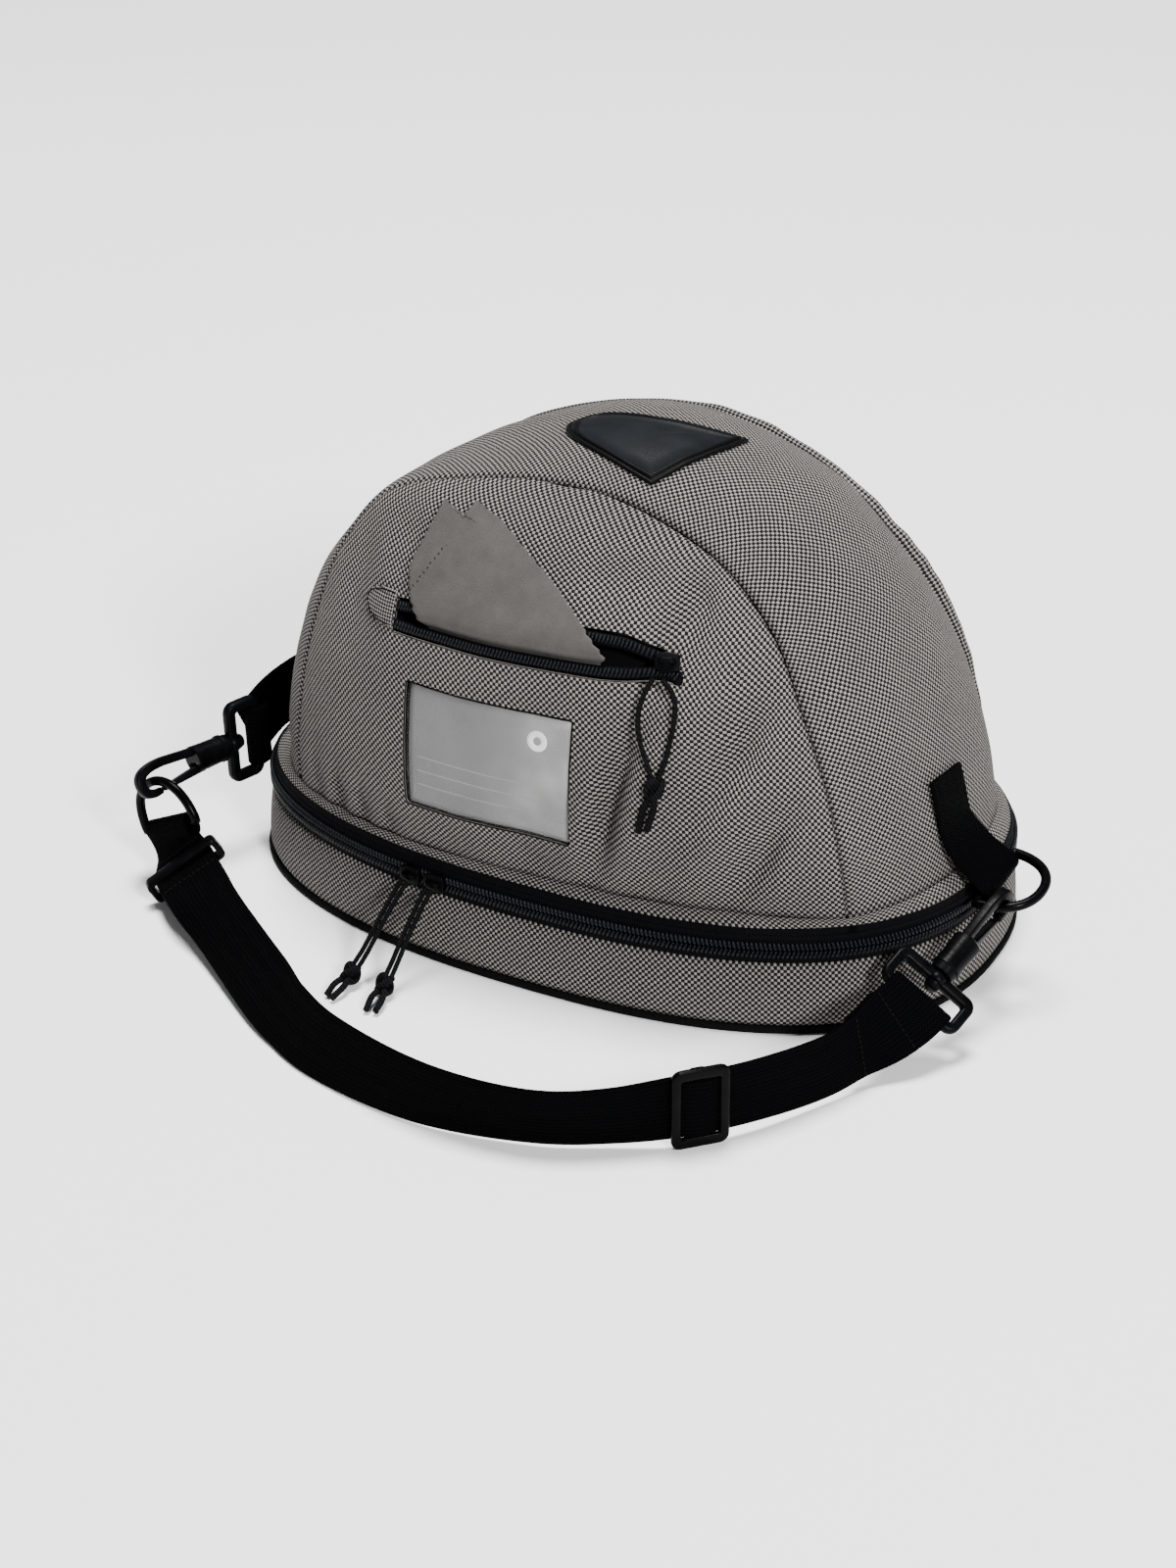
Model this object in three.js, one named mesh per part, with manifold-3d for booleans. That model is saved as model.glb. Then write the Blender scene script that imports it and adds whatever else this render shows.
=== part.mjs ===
// Riding helmet bag: a soft dome over a shallow oval base, joined by a zip, with a shoulder strap.
// Millimetres, +Z up. The origin is the centre of the base's underside, +X points to the end with
// the ring, and the pocket faces -Y.
import * as THREE from 'three';
import { mergeVertices } from 'three/addons/utils/BufferGeometryUtils.js';
import Module from 'manifold-3d';

const wasm = await Module();
wasm.setup();

// Driving dimensions
const LENGTH = 350; // oval at the zip, end to end
const WIDTH = 225; // oval at the zip, front to rear
const OVAL_POWER = 2.4; // 2 is an ellipse, more is squarer
const EGG = 0.08; // the +X end is wider than the -X end by this share
const WALL = 2; // outer cloth with its backing
const GAP = 0.3; // clearance between neighbouring pieces
const FLARE = 2.5; // the base's foot stands outside the zip by this
const PIPING = 1.9; // radius of the piping round the foot
const FLOOR_PANEL = 3; // thickness of the bottom panel
const BASE_TOP = 33; // upper edge of the base wall
const ZIP_TOP = 46; // upper edge of the zip
const HINGE_HALF = 65; // half length of the plain strip at the rear, in place of the zip
const WEBBING = { width: 30, thick: 1.8 };
const WIRE = 2; // half thickness of rings, frames and hooks
const CORD = 1.1; // radius of the zip pull cords

// Resolution of the faceted solids
const ARCH_STEPS = 24; // along the top band, end to end; even
const PANEL_STEPS = 20; // across the front and rear panels
const BAND_STEPS = 6; // across the top band

function table(names, values) {
  return values.map((row) => Object.fromEntries(names.map((name, i) => [name, row[i]])));
}

// The two seams of the top band, from the +X end over the top to the -X end, a row for each section:
// place of the front seam, half widths to the front and rear seams, rise of the band's middle, and
// how far the rear seam sinks.
const ARCH = table(['x', 'z', 'front', 'rear', 'crown', 'drop'], [
  [139, 53, 82, 78, 29, 0],
  [136, 76, 83, 79, 26, 0],
  [126, 106, 77, 77, 26, 0],
  [111, 136, 70, 70, 28, 0],
  [93, 165, 61, 61, 27, 1],
  [66, 191, 57, 57, 23, 1],
  [29, 207, 55, 55, 18, 1],
  [-5, 212, 55, 55, 13, 1],
  [-46, 208, 54, 54, 7, 3],
  [-90, 196, 57, 54, 3, 9],
  [-111, 170, 63, 58, 10, 9],
  [-122, 141, 67, 64, 20, 5],
  [-129, 108, 71, 70, 26, 2],
  [-132, 75, 74, 74, 28, 0],
  [-132, 53, 74, 74, 29, 0],
]);

// Distance of each panel's middle from the long axis, from the rim up to the top of the arch
const PANEL = table(['front', 'rear'], [
  [107, 107],
  [113, 113],
  [114, 114],
  [109, 109],
  [97, 97],
  [79, 79],
  [62, 62],
  [55, 55],
]);

// Dents and folds of the front panel: middle, half sizes and depth, negative where it swells
const FOLDS = table(['x', 'z', 'wide', 'tall', 'deep'], [
  [52, 92, 8, 28, 4],
  [68, 100, 10, 34, -2],
  [-116, 66, 6, 12, 3],
  [-99, 64, 6, 11, 3],
  [-82, 62, 6, 9, 2],
  [88, 150, 16, 22, 3],
  [-95, 168, 13, 20, 2.5],
  [40, 178, 24, 12, 2],
]);

// Smoothing between rows

function smooth(a, b, c, d, t) {
  return b + 0.5 * t * (c - a + t * (2 * a - 5 * b + 4 * c - d + t * (3 * (b - c) + d - a)));
}

// The value of a column at t, which runs from 0 at the first row to 1 at the last
function column(rows, name, t) {
  const last = rows.length - 1;
  const place = t * last;
  const row = Math.min(Math.floor(place), last - 1);
  const value = (k) => rows[THREE.MathUtils.clamp(k, 0, last)][name];
  return smooth(value(row - 1), value(row), value(row + 1), value(row + 2), place - row);
}

const vec = (x, y, z) => new THREE.Vector3(x, y, z);

// Surfaces of the bag

// Quarter of the oval: height over the middle of its long axis at a share t of that axis
const oval = (t) => Math.max(0, 1 - Math.abs(t) ** OVAL_POWER) ** (1 / OVAL_POWER);

// Rise of a panel between its two edges, 1 in the middle and 0 at -1 and 1
function bulge(place) {
  const edge = 0.77;
  return (oval(edge * place) - oval(edge)) / (1 - oval(edge));
}

// The base's oval at an angle, moved in by an inset
function outline(angle, inset, z) {
  const c = Math.cos(angle);
  const s = Math.sin(angle);
  const radius = (Math.abs(c) ** OVAL_POWER + Math.abs(s) ** OVAL_POWER) ** (-1 / OVAL_POWER);
  const x = (LENGTH / 2 - inset) * radius * c;
  const y = (WIDTH / 2 - inset) * radius * s * (1 + EGG * radius * c);
  return vec(x, y, z);
}

function outlineAngle(point) {
  const along = point.x / (LENGTH / 2);
  return Math.atan2(point.y / (WIDTH / 2) / (1 + EGG * along), along);
}

// The top band: t runs along the arch, v from -1 at the front seam to 1 at the rear seam
function bandPoint(t, v) {
  const at = (name, place) => column(ARCH, name, THREE.MathUtils.clamp(place, 0, 1));
  const step = 0.004;
  const run = (name) => at(name, t + step) - at(name, t - step);
  const along = new THREE.Vector2(run('x'), run('z'));
  along.normalize();
  const rear = (v + 1) / 2;
  const rise = at('crown', t) * bulge(v) - at('drop', t) * rear;
  const y = THREE.MathUtils.lerp(-at('front', t), at('rear', t), rear);
  return vec(at('x', t) + along.y * rise, y, at('z', t) - along.x * rise);
}

// A side panel: side is -1 in front and 1 behind, row runs from 0 at the rim to 1 at the top of the
// arch, and h from -1 at the -X seam to 1 at the +X seam
function sidePoint(side, row, h) {
  const point = bandPoint(1 - row / 2, side).lerp(bandPoint(row / 2, side), (h + 1) / 2);
  const seam = Math.abs(point.y);
  const middle = column(PANEL, side < 0 ? 'front' : 'rear', row);
  point.y = side * (seam + Math.max(middle - seam, 0) * bulge(h));
  if (side < 0) {
    const fade = Math.min(1, 5 * (1 - Math.abs(h))) * Math.min(1, 4 * (1 - row));
    for (const fold of FOLDS) {
      const across = (point.x - fold.x) / fold.wide;
      const up = (point.z - fold.z) / fold.tall;
      point.y += fold.deep * fade * Math.exp(-across * across - up * up);
    }
  }
  return point;
}

// Outward normal of a surface given as a function of two shares, each kept within its limits
function surfaceNormal(surface, u, v, limits) {
  const step = 0.01;
  const [uLow, uHigh, vLow, vHigh] = limits;
  const du = surface(Math.min(u + step, uHigh), v).sub(surface(Math.max(u - step, uLow), v));
  const dv = surface(u, Math.min(v + step, vHigh)).sub(surface(u, Math.max(v - step, vLow)));
  const normal = du.cross(dv).normalize();
  const outward = surface(u, v).sub(vec(0, 0, 60));
  return normal.dot(outward) < 0 ? normal.negate() : normal;
}

const bandNormal = (t, v) => surfaceNormal(bandPoint, t, v, [0, 1, -1, 1]);
const sideNormal = (side, row, h) =>
  surfaceNormal((r, k) => sidePoint(side, r, k), Math.min(row, 0.97), h, [0, 1, -1, 1]);

// Offset that keeps one wall thickness from both of two faces that meet at an edge
function mitre(first, second) {
  return first.clone().add(second).divideScalar(1 + first.dot(second));
}

function level(normal) {
  return vec(normal.x, normal.y, 0).normalize();
}

// The point of the front panel over x and z, lifted off its face
function panelAt(x, z, lift = 0) {
  let low = 0;
  let high = 1;
  let row = 0.5;
  let h = 0;
  for (let i = 0; i < 30; i++) {
    row = (low + high) / 2;
    const left = bandPoint(1 - row / 2, -1);
    const right = bandPoint(row / 2, -1);
    h = THREE.MathUtils.clamp((2 * (x - left.x)) / (right.x - left.x) - 1, -1, 1);
    if (sidePoint(-1, row, h).z < z) low = row;
    else high = row;
  }
  return sidePoint(-1, row, h).addScaledVector(sideNormal(-1, row, h), lift);
}

// The point of the top band over x and y, near the top, lifted off its face
function bandAt(x, y, lift = 0) {
  let low = 0.2;
  let high = 0.8;
  let t = 0.5;
  let v = 0;
  for (let i = 0; i < 30; i++) {
    t = (low + high) / 2;
    const front = -column(ARCH, 'front', t);
    const rear = column(ARCH, 'rear', t);
    v = (2 * (y - front)) / (rear - front) - 1;
    if (bandPoint(t, v).x > x) low = t;
    else high = t;
  }
  return bandPoint(t, v).addScaledVector(bandNormal(t, v), lift);
}

// Closed bodies

// A closed geometry from triangles of points, with shared points merged and faces turned outward
function closed(triangles) {
  const key = (p) => `${p.x.toFixed(4)},${p.y.toFixed(4)},${p.z.toFixed(4)}`;
  const kept = triangles.filter(([a, b, c]) => new Set([key(a), key(b), key(c)]).size === 3);
  const volume = kept.reduce((sum, [a, b, c]) => sum + a.dot(b.clone().cross(c)), 0);
  const faces = volume < 0 ? kept.map(([a, b, c]) => [a, c, b]) : kept;
  const geometry = new THREE.BufferGeometry().setFromPoints(faces.flat());
  return mergeVertices(geometry, 0.001);
}

function quad(a, b, c, d) {
  return [[a, b, c], [a, c, d]];
}

// The wall between two grids of points
function shell(outer, inner) {
  const faces = [];
  const rows = outer.length - 1;
  const columns = outer[0].length - 1;
  for (let i = 0; i < rows; i++) {
    for (let j = 0; j < columns; j++) {
      faces.push(...quad(outer[i][j], outer[i][j + 1], outer[i + 1][j + 1], outer[i + 1][j]));
      faces.push(...quad(inner[i][j], inner[i + 1][j], inner[i + 1][j + 1], inner[i][j + 1]));
    }
  }
  for (let i = 0; i < rows; i++) {
    faces.push(...quad(outer[i][0], outer[i + 1][0], inner[i + 1][0], inner[i][0]));
    faces.push(...quad(outer[i][columns], inner[i][columns], inner[i + 1][columns], outer[i + 1][columns]));
  }
  for (let j = 0; j < columns; j++) {
    faces.push(...quad(outer[0][j], inner[0][j], inner[0][j + 1], outer[0][j + 1]));
    faces.push(...quad(outer[rows][j], outer[rows][j + 1], inner[rows][j + 1], inner[rows][j]));
  }
  return closed(faces);
}

// A thin piece over a face: pointAt gives a point for two shares and a lift
function sheet(pointAt, uSteps, vSteps, low, high) {
  const grid = (lift) =>
    Array.from({ length: uSteps + 1 }, (_, i) =>
      Array.from({ length: vSteps + 1 }, (_, j) => pointAt(i / uSteps, j / vSteps, lift)));
  return shell(grid(high), grid(low));
}

// A solid through closed sections of equal point count, as a ring or with flat ends
function sweep(sections, ring) {
  const faces = [];
  const count = sections[0].length;
  const pairs = ring ? sections.length : sections.length - 1;
  for (let i = 0; i < pairs; i++) {
    const here = sections[i];
    const next = sections[(i + 1) % sections.length];
    for (let j = 0; j < count; j++) {
      const k = (j + 1) % count;
      faces.push(...quad(here[j], here[k], next[k], next[j]));
    }
  }
  if (!ring) {
    const first = sections[0];
    const last = sections[sections.length - 1];
    for (let j = 1; j < count - 1; j++) {
      faces.push([first[0], first[j + 1], first[j]]);
      faces.push([last[0], last[j], last[j + 1]]);
    }
  }
  return closed(faces);
}

// Joining and cutting

function toManifold(geometry) {
  const bare = geometry.clone();
  bare.deleteAttribute('normal');
  bare.deleteAttribute('uv');
  const merged = mergeVertices(bare, 0.001);
  return new wasm.Manifold(new wasm.Mesh({
    numProp: 3,
    vertProperties: new Float32Array(merged.attributes.position.array),
    triVerts: new Uint32Array(merged.index.array),
  }));
}

function fromManifold(solid) {
  const mesh = solid.getMesh();
  const geometry = new THREE.BufferGeometry();
  geometry.setAttribute('position', new THREE.BufferAttribute(new Float32Array(mesh.vertProperties), 3));
  geometry.setIndex(Array.from(mesh.triVerts));
  return geometry;
}

function join(...geometries) {
  return fromManifold(geometries.map(toManifold).reduce((sum, next) => sum.add(next)));
}

function cut(geometry, ...tools) {
  const solids = tools.map(toManifold);
  return fromManifold(solids.reduce((rest, tool) => rest.subtract(tool), toManifold(geometry)));
}

// Placing

function frameOf(origin, xAxis, yHint) {
  const x = xAxis.clone().normalize();
  const z = x.clone().cross(yHint).normalize();
  const y = z.clone().cross(x);
  return new THREE.Matrix4().makeBasis(x, y, z).setPosition(origin);
}

function place(geometry, matrix) {
  return geometry.clone().applyMatrix4(matrix);
}

const box = (x, y, z, cx, cy, cz) => new THREE.BoxGeometry(x, y, z).translate(cx, cy, cz);

// A bar along local X between two places, round in section
function rod(radiusStart, radiusEnd, from, to, sides = 10) {
  return new THREE.CylinderGeometry(radiusEnd, radiusStart, to - from, sides)
    .rotateZ(-Math.PI / 2)
    .translate((from + to) / 2, 0, 0);
}

function plate(shape, half, bevel, curveSegments = 4) {
  return new THREE.ExtrudeGeometry(shape, {
    depth: 2 * (half - bevel),
    bevelEnabled: bevel > 0,
    bevelThickness: bevel,
    bevelSize: bevel,
    bevelOffset: -bevel,
    bevelSegments: 1,
    curveSegments,
  }).translate(0, 0, bevel - half);
}

function roundedRectangle(path, x0, x1, y0, y1, r) {
  path.moveTo(x0 + r, y0);
  path.lineTo(x1 - r, y0);
  path.quadraticCurveTo(x1, y0, x1, y0 + r);
  path.lineTo(x1, y1 - r);
  path.quadraticCurveTo(x1, y1, x1 - r, y1);
  path.lineTo(x0 + r, y1);
  path.quadraticCurveTo(x0, y1, x0, y1 - r);
  path.lineTo(x0, y0 + r);
  path.quadraticCurveTo(x0, y0, x0 + r, y0);
  return path;
}

function circleShape(radius, sides) {
  const points = Array.from({ length: sides }, (_, i) => {
    const angle = (2 * Math.PI * i) / sides;
    return new THREE.Vector2(radius * Math.cos(angle), radius * Math.sin(angle));
  });
  return new THREE.Shape(points);
}

// Materials, with the colours of the real pieces
const colours = {
  cloth: [0x8c8780, 0.9, 0],
  black_cloth: [0x151517, 0.85, 0],
  zip: [0x14141a, 0.55, 0],
  webbing: [0x101011, 0.8, 0],
  plastic: [0x17181b, 0.4, 0],
  rubber: [0x1d2126, 0.6, 0],
  polish: [0x7d7a76, 0.95, 0],
  card: [0x969494, 0.7, 0],
  pane: [0xd8dcdf, 0.1, 0],
  cord: [0x121213, 0.8, 0],
};
const materials = Object.fromEntries(Object.entries(colours).map(([name, [color, roughness, metalness]]) =>
  [name, new THREE.MeshStandardMaterial({ name, color, roughness, metalness })]));
materials.pane.transparent = true;
materials.pane.opacity = 0.3;

const bag = new THREE.Group();

function add(name, geometry, material) {
  const bare = geometry.clone();
  bare.deleteAttribute('normal');
  bare.deleteAttribute('uv');
  const merged = mergeVertices(bare, 0.001);
  merged.computeVertexNormals();
  const mesh = new THREE.Mesh(merged, materials[material]);
  mesh.name = name;
  bag.add(mesh);
  return mesh;
}

// Dome: front panel, top band and rear panel, with a mitred seam between them

const SEAM_GAP = 0.2; // each cloth edge stops this far from the seam line

// Moves the edge columns of a grid off the seam, towards their neighbours
function trimColumns(grid) {
  for (const row of grid) {
    const end = row.length - 1;
    const low = row[1].clone().sub(row[0]).setLength(SEAM_GAP);
    const high = row[end - 1].clone().sub(row[end]).setLength(SEAM_GAP);
    row[0].add(low);
    row[end].add(high);
  }
}

function bandOffset(t, v) {
  const rim = t === 0 || t === 1;
  const own = rim ? level(bandNormal(t, v)) : bandNormal(t, v);
  if (Math.abs(v) < 1) return own;
  const row = t <= 0.5 ? 2 * t : 2 - 2 * t;
  const next = sideNormal(v, row, t <= 0.5 ? 1 : -1);
  return mitre(own, rim ? level(next) : next);
}

function sideOffset(side, row, h) {
  const own = row === 0 ? level(sideNormal(side, row, h)) : sideNormal(side, row, h);
  if (Math.abs(h) < 1 && row < 1) return own;
  const t = h > 0 ? row / 2 : 1 - row / 2;
  const next = bandNormal(row === 1 ? 0.5 : t, side);
  return mitre(own, row === 0 ? level(next) : next);
}

const bandOuter = [];
const bandInner = [];
for (let i = 0; i <= ARCH_STEPS; i++) {
  const t = i / ARCH_STEPS;
  const across = Array.from({ length: BAND_STEPS + 1 }, (_, j) => -1 + (2 * j) / BAND_STEPS);
  bandOuter.push(across.map((v) => bandPoint(t, v)));
  bandInner.push(across.map((v) => bandPoint(t, v).addScaledVector(bandOffset(t, v), -WALL)));
}

function sideGrids(side) {
  const rows = ARCH_STEPS / 2;
  const outer = [];
  const inner = [];
  for (let i = 0; i <= rows; i++) {
    const across = Array.from({ length: PANEL_STEPS + 1 }, (_, j) => -1 + (2 * j) / PANEL_STEPS);
    const top = i === rows;
    const offset = (h) => sideOffset(side, i / rows, top ? 0 : h);
    outer.push(across.map((h) => sidePoint(side, i / rows, h)));
    inner.push(across.map((h) => sidePoint(side, i / rows, h).addScaledVector(offset(h), -WALL)));
  }
  return [outer, inner];
}

// The rim: the dome's lower edge as a loop of outer and inner points, front, -X end, rear, +X end
const [frontOuter, frontInner] = sideGrids(-1);
const [rearOuter, rearInner] = sideGrids(1);
function rimLoop(front, rear, band) {
  const copy = (points) => points.map((p) => p.clone());
  return [
    ...copy(front[0]).reverse().slice(0, -1),
    ...copy(band[ARCH_STEPS]).slice(0, -1),
    ...copy(rear[0]).slice(0, -1),
    ...copy(band[0]).reverse().slice(0, -1),
  ];
}
const rimOuter = rimLoop(frontOuter, rearOuter, bandOuter);
const rimInner = rimLoop(frontInner, rearInner, bandInner);
const angles = rimOuter.map(outlineAngle);

// Side panels end in a point at the top of the arch, which moves off the seam as one
function trimTop(grid) {
  const top = grid[grid.length - 1];
  const below = grid[grid.length - 2][PANEL_STEPS / 2];
  const shift = below.clone().sub(top[0]).setLength(SEAM_GAP);
  for (const point of top) point.add(shift);
}
for (const grid of [frontOuter, frontInner, rearOuter, rearInner]) {
  trimColumns(grid.slice(0, -1));
  trimTop(grid);
}
trimColumns(bandOuter);
trimColumns(bandInner);

// Window and pocket in the front panel
const WINDOW = { left: -57, right: 25, low: 74, high: 132 };
const POCKET = { left: -67, right: 66, low: 149, lip: 4.6 };
// Upper edge of the pocket's mouth, from left to right
const MOUTH = table(['x', 'z'], [
  [-67, 163],
  [-40, 167],
  [10, 168],
  [42, 167],
  [66, 163],
]);
const mouthTop = new THREE.SplineCurve(MOUTH.map((row) => new THREE.Vector2(row.x, row.z)));

// A cutter through the front panel over an outline in x and z
function panelCutter(shape) {
  const reach = { from: -50, depth: 80 };
  return new THREE.ExtrudeGeometry(shape, { depth: reach.depth, bevelEnabled: false })
    .rotateX(Math.PI / 2)
    .translate(0, reach.from, 0);
}
const windowShape = roundedRectangle(
  new THREE.Shape(), WINDOW.left, WINDOW.right, WINDOW.low, WINDOW.high, 2);
const mouthShape = new THREE.Shape([
  new THREE.Vector2(POCKET.left, POCKET.low),
  new THREE.Vector2(POCKET.right, POCKET.low),
  ...mouthTop.getPoints(8).reverse(),
]);
const wholeFront = shell(frontOuter, frontInner);
add('front_panel', cut(wholeFront, panelCutter(windowShape), panelCutter(mouthShape)), 'cloth');
add('top_band', shell(bandOuter, bandInner), 'cloth');
add('rear_panel', shell(rearOuter, rearInner), 'cloth');

// Hem between the dome and the zip: a sloping ledge of folded cloth
const HEM_INSET = 0.8;
const hem = angles.map((angle, i) => [
  rimOuter[i].clone().add(vec(0, 0, -GAP)),
  rimInner[i].clone().add(vec(0, 0, -GAP)),
  outline(angle, HEM_INSET + WALL, ZIP_TOP + GAP),
  outline(angle, HEM_INSET, ZIP_TOP + GAP),
]);
add('hem', sweep(hem, true), 'cloth');

// Base: bottom panel, wall and piping round the foot
const foot = -FLARE;
const pipingInset = foot + 1;
add('bottom_panel', sweep([0, FLOOR_PANEL].map((z) =>
  angles.map((angle) => outline(angle, pipingInset + PIPING + GAP, z))), false), 'black_cloth');
const pipingSides = 5;
add('base_piping', sweep(angles.map((angle) =>
  Array.from({ length: pipingSides }, (_, k) => {
    const turn = (2 * Math.PI * (k + 0.5)) / pipingSides;
    return outline(angle, pipingInset - PIPING * Math.cos(turn), PIPING + 0.1 + PIPING * Math.sin(turn));
  })), true), 'black_cloth');
const wallFoot = 2 * PIPING + 0.1 + GAP;
add('base_wall', sweep(angles.map((angle) => [
  outline(angle, 0, BASE_TOP),
  outline(angle, WALL, BASE_TOP),
  outline(angle, foot + WALL, wallFoot),
  outline(angle, foot, wallFoot),
]), true), 'cloth');

// Main zip: two tapes round the oval, open at the rear, where a plain strip is the lid's hinge
const ZIP_PROUD = 0.4;
const TAPE = 1.8;
const zipMiddle = (BASE_TOP + ZIP_TOP) / 2;
const hingeAngle = Math.acos(HINGE_HALF / (LENGTH / 2));
const hingeStart = hingeAngle;
const hingeEnd = Math.PI - hingeAngle;
const seamAngle = 0.003;
const turned = (angle) => (angle < hingeStart ? angle + 2 * Math.PI : angle);
const inHinge = (angle) => angle > hingeStart && angle < hingeEnd;
const zipAngles = [hingeEnd + seamAngle,
  ...angles.filter((angle) => !inHinge(angle)).map(turned).sort((a, b) => a - b),
  hingeStart + 2 * Math.PI - seamAngle].filter((angle, i, list) => i === 0 || angle - list[i - 1] > 0.01);
const hingeAngles = [hingeStart + seamAngle,
  ...angles.filter(inHinge).sort((a, b) => a - b),
  hingeEnd - seamAngle];
function strip(list, inset, thick, low, high) {
  return sweep(list.map((angle) => [
    outline(angle, inset, low),
    outline(angle, inset, high),
    outline(angle, inset + thick, high),
    outline(angle, inset + thick, low),
  ]), false);
}
add('zip_lower', strip(zipAngles, -ZIP_PROUD, TAPE, BASE_TOP + GAP, zipMiddle - GAP / 2), 'zip');
add('zip_upper', strip(zipAngles, -ZIP_PROUD, TAPE, zipMiddle + GAP / 2, ZIP_TOP), 'zip');
add('hinge_strip', strip(hingeAngles, 0, WALL, BASE_TOP + GAP, ZIP_TOP), 'cloth');

// Card window: a clear pane in the opening and a card behind it
function onPanel(left, right, low, high) {
  const x = (u) => THREE.MathUtils.lerp(left, right, u);
  const z = (v) => THREE.MathUtils.lerp(low, high, v);
  return (u, v, lift) => panelAt(x(u), z(v), lift);
}
const cardEdge = 1.5;
const paneEdge = 0.8;
add('window_pane', sheet(onPanel(WINDOW.left + paneEdge, WINDOW.right - paneEdge, WINDOW.low + paneEdge,
  WINDOW.high - paneEdge), 6, 4, -1.2, -0.5), 'pane');
add('card', sheet(onPanel(WINDOW.left + cardEdge, WINDOW.right - cardEdge, WINDOW.low + cardEdge,
  WINDOW.high - cardEdge), 6, 4, -2.2, -1.5), 'card');

// Pocket: cloth back, two coil lips, end tab, slider
const POCKET_BACK = { rowLow: 1, rowHigh: 7, left: 4, right: 16, clear: 0.5, deep: 9, thick: 0.9 };
function pocketGrid(thick) {
  const { rowLow, rowHigh, left, right, clear, deep } = POCKET_BACK;
  const grid = [];
  for (let i = rowLow; i <= rowHigh; i++) {
    const up = (2 * (i - rowLow)) / (rowHigh - rowLow) - 1;
    const row = [];
    for (let j = left; j <= right; j++) {
      const across = (2 * (j - left)) / (right - left) - 1;
      const swell = (1 - Math.abs(across) ** 4) * (1 - Math.abs(up) ** 4);
      const normal = sideNormal(-1, (2 * i) / ARCH_STEPS, -1 + (2 * j) / PANEL_STEPS);
      row.push(frontInner[i][j].clone().addScaledVector(normal, -clear - deep * swell - thick));
    }
    grid.push(row);
  }
  return grid;
}
add('pocket_back', shell(pocketGrid(0), pocketGrid(POCKET_BACK.thick)), 'black_cloth');

const LIP = { inside: -1.7, outside: 1 };
const lipSteps = 10;
function lip(lowAt, highAt) {
  const sections = Array.from({ length: lipSteps + 1 }, (_, i) => {
    const x = THREE.MathUtils.lerp(POCKET.left + 0.6, POCKET.right - 0.6, i / lipSteps);
    return [
      panelAt(x, lowAt(x), LIP.outside),
      panelAt(x, highAt(x), LIP.outside),
      panelAt(x, highAt(x), LIP.inside),
      panelAt(x, lowAt(x), LIP.inside),
    ];
  });
  return sweep(sections, false);
}
// Height of the mouth's upper edge over x
function mouthEdge(x) {
  const points = mouthTop.getPoints(8);
  const next = Math.max(1, points.findIndex((p) => p.x >= x));
  const a = points[next - 1];
  const b = points[next];
  return THREE.MathUtils.lerp(a.y, b.y, (x - a.x) / (b.x - a.x));
}
const lipClear = { low: 1.3, high: 0.8 };
const lowLip = POCKET.low + lipClear.low;
const highLip = (x) => mouthEdge(x) - lipClear.high;
add('pocket_zip_lower', lip(() => lowLip, () => lowLip + POCKET.lip), 'zip');
add('pocket_zip_upper', lip((x) => highLip(x) - POCKET.lip, highLip), 'zip');

const END_TAB = { left: -85, right: -67.5, low: 150.5, high: 165 };
function endTab(u, v, lift) {
  const round = Math.sqrt(Math.max(0, 1 - (1 - u) ** 2.6));
  const middle = (END_TAB.low + END_TAB.high) / 2;
  const half = ((END_TAB.high - END_TAB.low) / 2) * round;
  const x = THREE.MathUtils.lerp(END_TAB.left, END_TAB.right, u);
  return panelAt(x, middle + half * (2 * v - 1), lift);
}
add('pocket_end_tab', sheet(endTab, 6, 3, GAP, GAP + 1), 'cloth');

// A zip slider: body with a pointed end and a bridge that a pull cord runs through
function slider(length, height) {
  const shape = new THREE.Shape();
  shape.moveTo(-length / 2, -height * 0.32);
  shape.lineTo(-length * 0.1, -height / 2);
  shape.lineTo(length / 2, -height * 0.42);
  shape.lineTo(length / 2, height * 0.42);
  shape.lineTo(-length * 0.1, height / 2);
  shape.lineTo(-length / 2, height * 0.32);
  const bridge = new THREE.Shape();
  bridge.moveTo(-length * 0.36, 0);
  bridge.lineTo(length * 0.36, 0);
  bridge.lineTo(length * 0.22, 3);
  bridge.lineTo(-length * 0.22, 3);
  const eye = new THREE.Path();
  eye.moveTo(-length * 0.14, 0.5);
  eye.lineTo(length * 0.14, 0.5);
  eye.lineTo(length * 0.1, 2.1);
  eye.lineTo(-length * 0.1, 2.1);
  bridge.holes.push(eye);
  const body = plate(shape, 1.2, 0.4).translate(0, 0, 1.2);
  const arch = plate(bridge, 1.1, 0).rotateX(Math.PI / 2).translate(0, 0, 2.2);
  return join(body, arch);
}
const SLIDER = { length: 10.5, height: 9 };
// Angle on the front of the oval over x
function frontAngle(x) {
  let low = Math.PI;
  let high = 2 * Math.PI;
  for (let i = 0; i < 30; i++) {
    const middle = (low + high) / 2;
    if (outline(middle, 0, 0).x < x) low = middle;
    else high = middle;
  }
  return low;
}
for (const [name, x] of [['zip_slider_left', -55], ['zip_slider_right', -42]]) {
  const angle = frontAngle(x);
  const seat = outline(angle, -ZIP_PROUD - GAP, zipMiddle);
  const along = outline(angle + 0.02, 0, 0).sub(outline(angle - 0.02, 0, 0));
  add(name, place(slider(SLIDER.length, SLIDER.height), frameOf(seat, along, vec(0, 0, 1))), 'plastic');
}
const pocketSeat = { x: 57.5, z: 155.4 };
const pocketAlong = panelAt(pocketSeat.x + 2, pocketSeat.z).sub(panelAt(pocketSeat.x - 2, pocketSeat.z));
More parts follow.
